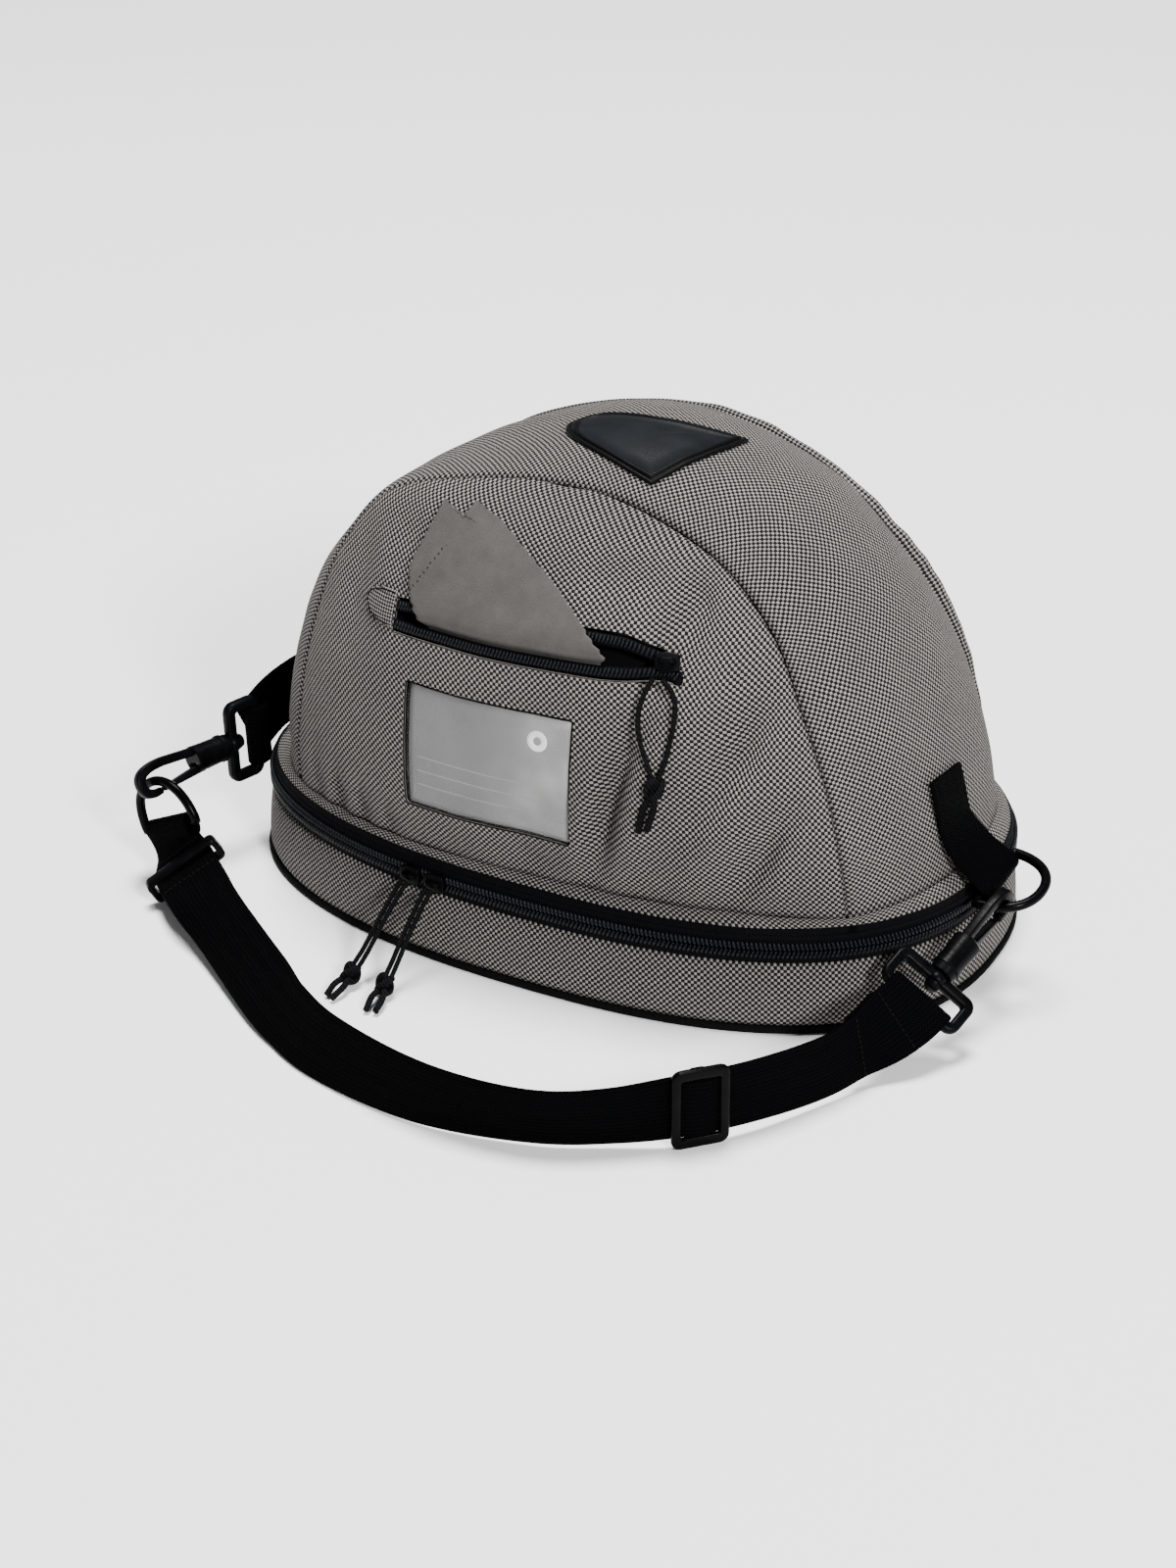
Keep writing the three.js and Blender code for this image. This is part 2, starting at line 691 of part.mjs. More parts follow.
const pocketUp = panelAt(pocketSeat.x, pocketSeat.z + 2).sub(panelAt(pocketSeat.x, pocketSeat.z - 2));
add('pocket_slider', place(slider(SLIDER.length, SLIDER.height),
  frameOf(panelAt(pocketSeat.x, pocketSeat.z, LIP.outside + GAP), pocketAlong, pocketUp)), 'plastic');

// Polishing cloth tucked into the pocket: rows from its hidden lower edge to its tip, with the lift
// off the panel. Its free edges are pinked, so every other row is cut in.
const POLISH = table(['z', 'left', 'right', 'lift'], [
  [145, -47, 24, -7],
  [151, -49, 28, -5.5],
  [155.6, -52, 33, -2.6],
  [158.2, -54.5, 34, 1.7],
  [163, -57.5, 28.5, 3],
  [170, -61, 20, 3.2],
  [177, -62, 11, 3.2],
  [184, -59.5, 1, 3.3],
  [191, -57, -11, 3.5],
  [196, -55, -22, 4],
  [199.5, -53.5, -36, 4.6],
]);
const PINK = 1.1;
const polishRows = 20;
function polish(u, v, lift) {
  const share = v * polishRows;
  const pinked = Math.round(share) % 2 === 0 ? 0 : PINK;
  const left = column(POLISH, 'left', v) + pinked;
  const right = column(POLISH, 'right', v) - pinked;
  const x = THREE.MathUtils.lerp(left, right, u);
  return panelAt(x, column(POLISH, 'z', v), column(POLISH, 'lift', v) + lift);
}
add('polishing_cloth', sheet(polish, 4, polishRows, -0.5, 0.5), 'polish');

// Badge: a plain shield of rubber on the top band, with its far and near edges from the bowed end to
// the rounded one
const BADGE = table(['farX', 'farY', 'nearX', 'nearY'], [
  [51, 4.4, 29.4, -46.2],
  [34, 0.5, 15.9, -43.8],
  [13.3, -2, 1.8, -39],
  [-8, -2.4, -11.5, -32.4],
  [-20.5, -5, -20.6, -24.6],
  [-25.2, -12.5, -25.2, -15.5],
]);
const BADGE_BOW = 3.6;
const BADGE_THICK = 2.2;
function badge(u, v, lift) {
  const bow = BADGE_BOW * 4 * v * (1 - v) * (1 - u);
  const x = THREE.MathUtils.lerp(column(BADGE, 'farX', u), column(BADGE, 'nearX', u), v);
  const y = THREE.MathUtils.lerp(column(BADGE, 'farY', u), column(BADGE, 'nearY', u), v);
  return bandAt(x + bow, y, lift);
}
add('badge', sheet(badge, 7, 6, GAP, GAP + BADGE_THICK), 'rubber');

// Pull cords: each runs from its slider's bridge down to the knot and back, and the knot has two tails
const PULLS = [
  {
    name: 'pocket_pull',
    strands: [
      [
        [56.4, -100, 153.4], [53.8, -102.2, 147.4], [52.4, -105, 139], [53.6, -107.3, 132], [56.2, -109, 125],
        [59.5, -110.8, 119.5], [62, -112, 114],
      ],
      [
        [60.2, -98.9, 153.4], [64.6, -99.4, 149.4], [67.2, -101, 143.5], [67.8, -104, 136], [67.2, -106.8, 128],
        [66.4, -108.9, 121.5], [64.7, -111.5, 114.1],
      ],
    ],
    knot: [63.7, -112.9, 110.2],
    tails: [[57.6, -115, 90], [61.6, -115.6, 92]],
  },
  {
    name: 'zip_pull_left',
    strands: [
      [
        [-57, -113.9, 38.8], [-58.6, -119.4, 33.6], [-59.6, -123, 30], [-60.6, -126.6, 26.4],
        [-62.4, -132.8, 19.3], [-63.9, -137.7, 13.7], [-65.4, -143, 9.1],
      ],
      [
        [-54, -114.2, 38.8], [-55.8, -119.6, 33.6], [-56.9, -123.2, 29.9], [-58, -126.7, 26.3],
        [-59.8, -132.9, 19.2], [-61.3, -137.9, 13.4], [-62.9, -143.3, 8.6],
      ],
    ],
    knot: [-65.1, -146.5, 6],
    tails: [[-69, -160, 2.2], [-65.4, -162, 2.2]],
  },
  {
    name: 'zip_pull_right',
    strands: [
      [
        [-43.7, -116.1, 38.6], [-45, -121, 33.6], [-45.6, -124.3, 30.1], [-46.2, -127.6, 26.6],
        [-47.3, -134, 19.2], [-48, -138.9, 13.7], [-48.4, -144.4, 8.9],
      ],
      [
        [-40.7, -116.4, 38.6], [-42.2, -121.1, 33.6], [-42.9, -124.4, 30], [-43.6, -127.6, 26.6],
        [-44.7, -134.1, 19.1], [-45.4, -139.1, 13.4], [-45.8, -144.6, 8.6],
      ],
    ],
    knot: [-47.4, -147.9, 5.8],
    tails: [[-47.4, -163.6, 2.2], [-43.2, -163, 2.2]],
  },
];
const KNOT = 4.2;
const points = (list) => list.map(([x, y, z]) => vec(x, y, z));
function cordTube(route, radius, sides, steps) {
  const path = new THREE.CatmullRomCurve3(points(route));
  const options = { steps, bevelEnabled: false, extrudePath: path };
  return new THREE.ExtrudeGeometry(circleShape(radius, sides), options);
}
for (const pull of PULLS) {
  pull.strands.forEach((route, i) => {
    add(`${pull.name}_strand_${i + 1}`, cordTube(route, CORD, 8, 7), 'cord');
  });
  const ball = new THREE.SphereGeometry(KNOT, 8, 6).scale(1, 1, 0.9).translate(...pull.knot);
  const tails = pull.tails.map((tail) => cordTube([pull.knot, tail], CORD, 6, 2));
  add(`${pull.name}_knot`, join(ball, ...tails), 'cord');
}

// Webbing

// A strip of webbing along a path: each stop has a place and a vector across the strip
function ribbon(stops) {
  const sections = stops.map((stop, i) => {
    const before = stops[Math.max(i - 1, 0)].p;
    const after = stops[Math.min(i + 1, stops.length - 1)].p;
    const along = after.clone().sub(before).normalize();
    const across = stop.w.clone().addScaledVector(along, -stop.w.dot(along)).setLength(WEBBING.width / 2);
    const normal = along.clone().cross(across).setLength(WEBBING.thick / 2);
    return [
      stop.p.clone().add(across).add(normal),
      stop.p.clone().sub(across).add(normal),
      stop.p.clone().sub(across).sub(normal),
      stop.p.clone().add(across).sub(normal),
    ];
  });
  return sweep(sections, false);
}

// Half a turn of webbing round a bar, from the layer on the normal's side over the far side
const WRAP = WIRE + 0.9 + WEBBING.thick / 2;
function wrap(bar, far, normal, across) {
  const steps = 6;
  return Array.from({ length: steps + 1 }, (_, i) => {
    const turn = (Math.PI * i) / steps;
    const p = bar.clone()
      .addScaledVector(normal, WRAP * Math.cos(turn))
      .addScaledVector(far, WRAP * Math.sin(turn));
    return { p, w: across.clone() };
  });
}

const squared = (vector, axis) => vector.clone().addScaledVector(axis, -vector.dot(axis)).normalize();

const STOP = ['x', 'y', 'z', 'wx', 'wy', 'wz'];
const stopOf = (row) => ({ p: vec(row.x, row.y, row.z), w: vec(row.wx, row.wy, row.wz).normalize() });

// A stop of webbing sewn flat on the top band
function onBand(t, v, across) {
  return { p: bandPoint(t, v).addScaledVector(bandNormal(t, v), 1.5), w: across };
}

// A tab: sewn to the dome along its first stops, then round a bar and a little way back
function tab(sewn, bar, across, outward) {
  const far = squared(bar.clone().sub(sewn[sewn.length - 1].p), across);
  const normal = far.clone().cross(across).normalize();
  if (normal.dot(outward) < 0) normal.negate();
  const turn = wrap(bar, far, normal, across);
  const back = turn[turn.length - 1];
  const end = { p: back.p.clone().addScaledVector(far, -5), w: across.clone() };
  return ribbon([...sewn, ...turn, end]);
}

// Ring: a D in its own plane, X away from the straight bar, Y along it
const RING = { half: 18.4, deep: 22 };
function ringD() {
  const loop = (path, grow) => {
    const half = RING.half + grow;
    const deep = RING.deep + grow;
    path.moveTo(-grow, half);
    path.lineTo(-grow, -half);
    path.bezierCurveTo(deep * 0.62, -half, deep, -half * 0.6, deep, 0);
    path.bezierCurveTo(deep, half * 0.6, deep * 0.62, half, -grow, half);
    return path;
  };
  const shape = loop(new THREE.Shape(), WIRE);
  shape.holes.push(loop(new THREE.Path(), -WIRE));
  return plate(shape, WIRE, 0.7, 6);
}
const ringFrame = (ring) => frameOf(ring.bar, ring.out, ring.along);

// Snap hook in its own frame: the strap bar of the swivel frame at the origin, X towards the nose
const HOOK = {
  seat: new THREE.Vector2(59.5, -1.5), // middle of the held wire
  swivel: 13.6, // strap bar to the swivel bar
  half: 17.6, // half width of the swivel frame, to the middle of its bars
  boss: 4.2, // radius round the swivel's bore
  stem: 2.1, // radius of the swivelling stem
  barrel: 6, // radius of the barrel
  barrelEnd: 36.5,
  thick: 2.2, // half thickness of the hook
  pivot: new THREE.Vector2(33.5, -4.2), // the gate's hinge
  gateEnd: 56,
};
function swivelFrame() {
  const outer = roundedRectangle(
    new THREE.Shape(), -WIRE, HOOK.swivel + WIRE, -HOOK.half - WIRE, HOOK.half + WIRE, 4);
  outer.holes.push(roundedRectangle(
    new THREE.Path(), WIRE, HOOK.swivel - WIRE, -HOOK.half + WIRE, HOOK.half - WIRE, 1));
  const boss = rod(HOOK.boss, HOOK.boss, HOOK.swivel - WIRE, HOOK.swivel + WIRE);
  const bore = rod(HOOK.stem + 0.35, HOOK.stem + 0.35, HOOK.swivel - 6, HOOK.swivel + 6);
  return cut(join(plate(outer, WIRE, 0.7, 2), boss), bore);
}
function hookBody() {
  const inside = HOOK.swivel - WIRE - 0.35;
  const outside = HOOK.swivel + WIRE + 0.35;
  const head = rod(3, 3.8, inside - 2.9, inside);
  const stem = rod(HOOK.stem, HOOK.stem, inside - 1, outside + 1);
  const barrel = rod(HOOK.barrel - 1, HOOK.barrel, outside, HOOK.barrelEnd);
  const arm = new THREE.Shape();
  arm.moveTo(30, 5.6);
  arm.lineTo(52, 7.6);
  arm.quadraticCurveTo(68.4, 8, 68.4, -1);
  arm.quadraticCurveTo(68.2, -9, 60.4, -8.8);
  arm.lineTo(56.7, -8.2);
  arm.lineTo(57.2, -5);
  arm.quadraticCurveTo(64, -5.8, 64, -1.2);
  arm.quadraticCurveTo(64, 3.4, 52, 3.2);
  arm.lineTo(30, 1.4);
  const slot = box(14, 9, 4.4, HOOK.pivot.x + 4, HOOK.pivot.y - 1.4, 0);
  const pin = new THREE.CylinderGeometry(0.9, 0.9, 6.4, 8)
    .rotateX(Math.PI / 2)
    .translate(HOOK.pivot.x, HOOK.pivot.y, 0);
  return join(cut(join(head, stem, barrel), slot), plate(arm, HOOK.thick, 0.5), pin);
}
function hookGate() {
  const shape = new THREE.Shape();
  const { x, y } = HOOK.pivot;
  shape.absarc(x, y, 2.3, Math.PI * 0.35, Math.PI * 1.6, false);
  shape.lineTo(HOOK.gateEnd, -7.6);
  shape.lineTo(HOOK.gateEnd, -5.2);
  const hole = new THREE.Path();
  hole.absarc(x, y, 1.2, 0, 2 * Math.PI, false);
  shape.holes.push(hole);
  return plate(shape, 1.8, 0, 6);
}
// Adds a snap hook, with its swivel frame turned apart from its body
function addHook(side, hook) {
  add(`hook_frame_${side}`, place(swivelFrame(), frameOf(hook.bar, hook.axis, hook.across)), 'plastic');
  add(`hook_body_${side}`, place(hookBody(), frameOf(hook.bar, hook.axis, hook.up)), 'plastic');
  add(`hook_gate_${side}`, place(hookGate(), frameOf(hook.bar, hook.axis, hook.up)), 'plastic');
}

// Direction of a hook's back, square to its axis and to the wire it holds
function hookBack(axis, wireAlong) {
  const across = squared(wireAlong, axis);
  const up = across.clone().cross(axis);
  return up.z < 0 ? up.negate() : up;
}

// +X end: tab, ring, and the strap's hook on the ring
const ringRight = { bar: vec(180.5, -17, 50.5), along: vec(0.1, 0.95, 0.22).normalize() };
ringRight.out = squared(vec(0.94, -0.33, -0.06), ringRight.along);
add('tab_right', tab([
  onBand(0.105, -0.26, vec(0.05, 1, 0)),
  onBand(0.081, -0.26, vec(0.05, 1, 0)),
  onBand(0.053, -0.25, vec(0.05, 1, 0.02)),
  { p: vec(172, -18, 61), w: vec(0.08, 1, 0.12) },
], ringRight.bar, ringRight.along, vec(1, 0, 0.5)), 'webbing');
add('ring_right', place(ringD(), ringFrame(ringRight)), 'plastic');
const held = ringRight.bar.clone().addScaledVector(ringRight.out, 10).addScaledVector(ringRight.along, -16.9);
const heldAlong = ringRight.out.clone().multiplyScalar(0.97).addScaledVector(ringRight.along, 0.24);
const hookRight = { axis: vec(0.25, 0.885, 0.39).normalize() };
hookRight.up = hookBack(hookRight.axis, heldAlong);
hookRight.across = squared(vec(-0.808, 0.047, 0.588), hookRight.axis);
hookRight.bar = held.clone()
  .addScaledVector(hookRight.axis, -HOOK.seat.x)
  .addScaledVector(hookRight.up, -HOOK.seat.y);
addHook('right', hookRight);

// -X end: tab with the other hook, which holds the ring on the strap's end
const ringLeft = { along: vec(0.87, -0.2, 0.45).normalize() };
ringLeft.out = squared(vec(-0.443, 0.075, 0.893), ringLeft.along);
const hookLeft = { bar: vec(-173.5, -45, 54), axis: vec(-0.353, -0.934, -0.05).normalize() };
hookLeft.up = hookBack(hookLeft.axis, ringLeft.along);
hookLeft.across = squared(vec(0, 0, 1), hookLeft.axis);
add('tab_left', tab([
  onBand(0.938, 0.16, vec(0.07, 0, 1)),
  onBand(0.94, -0.05, vec(0.07, 0, 1)),
  { p: vec(-167, -18, 69), w: vec(0, 0, 1) },
  { p: vec(-172.5, -31, 63.5), w: vec(0, 0, 1) },
], hookLeft.bar, hookLeft.across, vec(-1, 0, 0)), 'webbing');
addHook('left', hookLeft);
ringLeft.bar = hookLeft.bar.clone()
  .addScaledVector(hookLeft.axis, HOOK.seat.x)
  .addScaledVector(hookLeft.up, HOOK.seat.y)
  .addScaledVector(ringLeft.out, -RING.deep);
add('ring_left', place(ringD(), ringFrame(ringLeft)), 'plastic');

// Shoulder strap: from the left ring, over the floor in front of the bag on its edge, to the right
// hook. A row for each bend: the middle of the strip and the direction from its lower to its upper edge.
const bends = table(STOP, [
  [-173.8, -110.4, 17.4, 0.89, 0.1, 0.44],
  [-149, -134, 19, 0.82, 0.3, 0.48],
  [-132, -147, 18, 0.76, 0.17, 0.63],
  [-115, -159.5, 15.8, 0.76, 0.15, 0.64],
  [-88, -180, 13.6, 0.73, 0.2, 0.65],
  [-64, -198.3, 13.8, 0.65, 0.09, 0.76],
  [-37.7, -213.2, 14.6, 0.53, 0.1, 0.84],
  [17, -227.4, 15.9, 0.35, -0.02, 0.93],
  [65.8, -222.5, 16.4, 0.17, -0.18, 0.97],
  [92, -210, 17.2, 0.08, -0.15, 0.98],
  [115, -194.6, 19.3, 0, -0.03, 1],
  [134.7, -173.2, 19.3, -0.03, -0.06, 1],
  [154, -140.2, 18, -0.15, -0.21, 0.97],
  [161.7, -122.6, 20, -0.27, -0.3, 0.91],
]).map(stopOf);
const strapStops = [
  { p: ringLeft.bar, w: ringLeft.along },
  { p: ringLeft.bar.clone().add(vec(3.4, -0.9, -7.4)), w: ringLeft.along },
  ...bends,
  { p: hookRight.bar.clone().add(vec(-2.2, -8.2, -1.6)), w: hookRight.across },
  { p: hookRight.bar, w: hookRight.across },
];
const LAYER = 1.15; // each of two layers lies this far from the strip's middle
const RETURN = 42; // length of the sewn-back ends
const strapSteps = 48;
const middleCurve = new THREE.CatmullRomCurve3(strapStops.map((stop) => stop.p));
const acrossCurve = new THREE.CatmullRomCurve3(strapStops.map((stop) => stop.w));
const strapPath = Array.from({ length: strapSteps + 1 }, (_, i) => {
  const t = i / strapSteps;
  const atBar = i === 0 || i === strapSteps;
  const tangent = middleCurve.getTangent(t);
  const lean = acrossCurve.getPoint(t).normalize();
  const w = atBar ? lean : squared(lean, tangent);
  const along = atBar ? squared(tangent, lean) : tangent;
  return { p: middleCurve.getPoint(t), w, along, normal: along.clone().cross(w) };
});
let walked = 0;
strapPath.forEach((stop, i) => {
  if (i > 0) walked += stop.p.distanceTo(strapPath[i - 1].p);
  stop.walked = walked;
});
// Distance of a layer from the strip's middle, widening to the bar at an end
const layerAt = (distance) => LAYER + (WRAP - LAYER) * Math.exp(-((distance / 7) ** 2));
function layer(stop, sign) {
  const distance = Math.min(stop.walked, walked - stop.walked);
  return { p: stop.p.clone().addScaledVector(stop.normal, sign * layerAt(distance)), w: stop.w };
}
const first = strapPath[0];
const last = strapPath[strapSteps];
const startTurn = wrap(first.p, first.along.clone().negate(), first.normal.clone().negate(), first.w);
const endTurn = wrap(last.p, last.along, last.normal, last.w);
const startReturn = strapPath.slice(1).filter((stop) => stop.walked < RETURN).reverse();
const endReturn = strapPath.slice(0, -1).filter((stop) => walked - stop.walked < RETURN).reverse();
add('strap', ribbon([
  ...startReturn.map((stop) => layer(stop, -1)),
  ...startTurn,
  ...strapPath.slice(1, -1).map((stop) => layer(stop, 1)),
  ...endTurn,
  ...endReturn.map((stop) => layer(stop, -1)),
]), 'webbing');

// The strap's path at a distance from its start
function strapAt(distance) {
  const next = strapPath.findIndex((stop) => stop.walked > distance);
  const a = strapPath[next - 1];
  const b = strapPath[next];
  const share = (distance - a.walked) / (b.walked - a.walked);
  const w = squared(a.w.clone().lerp(b.w, share), a.along);
  return { p: a.p.clone().lerp(b.p, share), w, along: a.along };
}

// Keeper round the doubled end, a flat loop
const KEEPER = { at: 25, half: 17.6, high: 4.2, length: 7 };
const keeperShape = roundedRectangle(
  new THREE.Shape(), -KEEPER.half - 1.4, KEEPER.half + 1.4, -KEEPER.high - 1.4, KEEPER.high + 1.4, 2.5);
keeperShape.holes.push(roundedRectangle(
  new THREE.Path(), -KEEPER.half + 1.4, KEEPER.half - 1.4, -KEEPER.high + 0.6, KEEPER.high - 0.6, 0.8));
const keeperSeat = strapAt(KEEPER.at);
add('keeper', place(plate(keeperShape, KEEPER.length / 2, 0.8, 2),
  frameOf(keeperSeat.p, keeperSeat.w, keeperSeat.along.clone().cross(keeperSeat.w))), 'plastic');

// Length adjuster: a frame in front of the strap and a cross bar behind it
const ADJUSTER = { at: 0.755, long: 23, half: 18.3, bar: 3, clear: 1.8, thick: 2.2 };
const adjusterShape = roundedRectangle(
  new THREE.Shape(), -ADJUSTER.long / 2, ADJUSTER.long / 2, -ADJUSTER.half, ADJUSTER.half, 3);
adjusterShape.holes.push(roundedRectangle(
  new THREE.Path(), -ADJUSTER.long / 2 + ADJUSTER.bar, ADJUSTER.long / 2 - ADJUSTER.bar, -15.4, 15.4, 1));
const adjusterFrame = plate(adjusterShape, ADJUSTER.thick / 2, 0.6, 2)
  .translate(0, 0, ADJUSTER.clear + ADJUSTER.thick / 2);
const adjusterDeep = 2 * ADJUSTER.clear + 2 * ADJUSTER.thick - 0.6;
const adjusterEnds = [-1, 1].map((side) => box(8, 2.4, adjusterDeep, 0, side * (ADJUSTER.half - 1.6), -0.2));
const adjusterBar = box(6, 2 * ADJUSTER.half - 2, 2, 0, 0, -ADJUSTER.clear - 1.1);
const adjusterSeat = strapAt(ADJUSTER.at * walked);
const adjusterNormal = adjusterSeat.along.clone().cross(adjusterSeat.w);
const adjusterMiddle = adjusterSeat.p.clone().addScaledVector(adjusterNormal, LAYER);
add('adjuster', place(join(adjusterFrame, ...adjusterEnds, adjusterBar),
  frameOf(adjusterMiddle, adjusterSeat.along, adjusterSeat.w)), 'plastic');

export default bag;
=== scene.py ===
import math

import bpy
from mathutils import Matrix, Vector, noise
from mathutils.bvhtree import BVHTree


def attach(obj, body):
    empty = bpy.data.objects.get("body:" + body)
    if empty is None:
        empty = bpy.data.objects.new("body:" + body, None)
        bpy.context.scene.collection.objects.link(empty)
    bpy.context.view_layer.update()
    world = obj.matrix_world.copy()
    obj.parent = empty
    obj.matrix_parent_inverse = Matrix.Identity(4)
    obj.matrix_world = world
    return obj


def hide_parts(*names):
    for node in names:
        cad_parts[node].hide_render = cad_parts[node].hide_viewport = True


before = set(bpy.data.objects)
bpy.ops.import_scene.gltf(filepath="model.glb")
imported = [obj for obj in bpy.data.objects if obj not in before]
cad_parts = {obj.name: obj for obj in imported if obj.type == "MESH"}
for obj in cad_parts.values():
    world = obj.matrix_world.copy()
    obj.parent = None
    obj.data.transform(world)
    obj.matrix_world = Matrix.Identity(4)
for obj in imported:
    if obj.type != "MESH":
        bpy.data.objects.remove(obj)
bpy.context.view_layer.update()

# Base wall. A low oval wall of two-tone cloth with a stiff backing, sewn into the piping at its foot
# and to the lower zip tape along its upper edge.
MM = 0.001  # sizes below are in millimetres
UP = Vector((0, 0, 1))
OVAL = (175.0, 112.5)  # half sizes along X and Y at the zip
OVAL_POWER = 2.4
EGG = 0.08  # the +X end of the oval is wider by this share
INSIDE = Vector((0, 0, 60))  # a place inside the bag, which its faces turn away from
WALL = 2.0
BASE_TOP = 33.0
ZIP_TOP = 46.0
FLARE = 2.5  # how far the wall leans out at its foot
WEAVE = 2.7  # repeat of the two-tone weave


def outline(angle, inset, z):
    """A point of the oval at an angle and a height, set in from the line of the zip."""
    c, s = math.cos(angle), math.sin(angle)
    radius = (abs(c) ** OVAL_POWER + abs(s) ** OVAL_POWER) ** (-1 / OVAL_POWER)
    x = (OVAL[0] - inset) * radius * c
    y = (OVAL[1] - inset) * radius * s * (1 + EGG * radius * c)
    return Vector((x, y, z))


def lengths(points):
    """The length walked along a line of points up to each of them."""
    walked = [0.0]
    for a, b in zip(points, points[1:]):
        walked.append(walked[-1] + (b - a).length)
    return walked


def evenly(curve, start, end, count):
    """Places on a curve from start to end, evenly spaced by length, and that length."""
    steps = 1440
    fine = [start + (end - start) * i / steps for i in range(steps + 1)]
    walked = lengths([curve(t) for t in fine])
    places, k = [], 0
    for i in range(count + 1):
        want = walked[-1] * i / count
        while k < steps - 1 and walked[k + 1] < want:
            k += 1
        share = (want - walked[k]) / (walked[k + 1] - walked[k])
        places.append(fine[k] + share * (fine[k + 1] - fine[k]))
    return places, walked[-1]


def mesh_piece(name, points, faces, corners=None):
    """A smooth mesh object from points in millimetres, with a place on the cloth for each corner."""
    mesh = bpy.data.meshes.new(name)
    mesh.from_pydata([p * MM for p in points], [], faces)
    if corners:
        layer = mesh.uv_layers.new(name="cloth")
        for spot, uv in zip(layer.data, corners):
            spot.uv = (uv[0] * MM, uv[1] * MM)
    piece = bpy.data.objects.new(name, mesh)
    bpy.context.collection.objects.link(piece)
    mesh.shade_smooth()
    return piece


def only(piece):
    """Makes a piece the one that is selected and active."""
    bpy.ops.object.select_all(action="DESELECT")
    piece.select_set(True)
    bpy.context.view_layer.objects.active = piece


def clean(piece, distance=0.02):
    """Merges doubled points and turns the faces of a closed piece outward."""
    only(piece)
    bpy.ops.object.mode_set(mode="EDIT")
    bpy.ops.mesh.select_all(action="SELECT")
    bpy.ops.mesh.remove_doubles(threshold=distance * MM)
    bpy.ops.mesh.dissolve_degenerate(threshold=distance * MM)
    bpy.ops.mesh.normals_make_consistent(inside=False)
    bpy.ops.object.mode_set(mode="OBJECT")
    return piece


def smooth_to(piece, angle):
    """Smooth shading, with sharp edges where faces meet at more than an angle in degrees."""
    only(piece)
    bpy.ops.object.shade_smooth_by_angle(angle=math.radians(angle))
    return piece


def cells(rows, columns, ring=True, start=0):
    """Four-sided faces between rows of points; a ring's last column meets its first."""
    faces = []
    for i in range(rows - 1):
        low, high = start + i * columns, start + (i + 1) * columns
        for j in range(columns if ring else columns - 1):
            k = (j + 1) % columns
            faces.append((low + j, low + k, high + k, high + j))
    return faces


def cell_corners(uvs):
    """The place on the cloth of each corner of the cells."""
    corners = []
    for low, high in zip(uvs, uvs[1:]):
        for j in range(len(low) - 1):
            corners.extend((low[j], low[j + 1], high[j + 1], high[j]))
    return corners


def grid_piece(name, rows, uvs, ring=False, middle=INSIDE):
    """A face through rows of points, turned away from a middle."""
    faces = cells(len(rows), len(rows[0]), ring)
    piece = mesh_piece(name, [p for row in rows for p in row], faces, cell_corners(uvs))
    outward = sum(f.normal.dot(f.center / MM - middle) * f.area for f in piece.data.polygons)
    if outward < 0:
        piece.data.flip_normals()
    return piece


def apply(piece, kind, **settings):
    """Adds a modifier and applies it."""
    only(piece)
    modifier = piece.modifiers.new(kind.lower(), kind)
    for key, value in settings.items():
        setattr(modifier, key, value)
    bpy.ops.object.modifier_apply(modifier=modifier.name)
    return piece


def thicken(piece, thick, offset=-1.0):
    """Gives a face its thickness: inward at an offset of -1, to both sides at 0."""
    return apply(piece, "SOLIDIFY", thickness=thick * MM, offset=offset)


def settle(piece, material, nodes=(), body="bag"):
    """Gives a finished piece its material and its body, and hides the nodes of the part that it stands for.
    """
    piece.data.materials.clear()
    piece.data.materials.append(material)
    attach(piece, body)
    if nodes:
        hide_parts(*nodes)
    return piece


def calc(tree, operation, *values):
    """A sum of shader values, each a socket or a number."""
    node = tree.nodes.new("ShaderNodeMath")
    node.operation = operation
    for socket, value in zip(node.inputs, values):
        if isinstance(value, (int, float)):
            socket.default_value = value
        else:
            tree.links.new(value, socket)
    return node.outputs[0]


def blend(tree, share, first, second):
    """A colour between two, each a socket or a linear colour."""
    node = tree.nodes.new("ShaderNodeMix")
    node.data_type = "RGBA"
    tree.links.new(share, node.inputs[0])
    for socket, value in ((node.inputs[6], first), (node.inputs[7], second)):
        if isinstance(value, tuple):
            socket.default_value = (*value, 1)
        else:
            tree.links.new(value, socket)
    return node.outputs[2]


def between(tree, value, low, high, out_low=0.0, out_high=1.0):
    """A smooth step of a value from low to high, as a number from out_low to out_high."""
    node = tree.nodes.new("ShaderNodeMapRange")
    node.interpolation_type = "SMOOTHSTEP"
    for k, number in ((1, low), (2, high), (3, out_low), (4, out_high)):
        node.inputs[k].default_value = number
    tree.links.new(value, node.inputs[0])
    return node.outputs[0]


def grain_group():
    """Grain of soft spots, as a value that every material of the bag can use."""
    group = bpy.data.node_groups.new("grain", "ShaderNodeTree")
    group.interface.new_socket("Place", in_out="INPUT", socket_type="NodeSocketVector")
    for socket in ("Scale", "Detail"):
        group.interface.new_socket(socket, in_out="INPUT", socket_type="NodeSocketFloat")
    group.interface.new_socket("Value", in_out="OUTPUT", socket_type="NodeSocketFloat")
    start, end = group.nodes.new("NodeGroupInput"), group.nodes.new("NodeGroupOutput")
    spots = group.nodes.new("ShaderNodeTexNoise")
    for source, target in (("Place", "Vector"), ("Scale", "Scale"), ("Detail", "Detail")):
        group.links.new(start.outputs[source], spots.inputs[target])
    group.links.new(spots.outputs["Fac"], end.inputs["Value"])
    return group


soft_grain = grain_group()


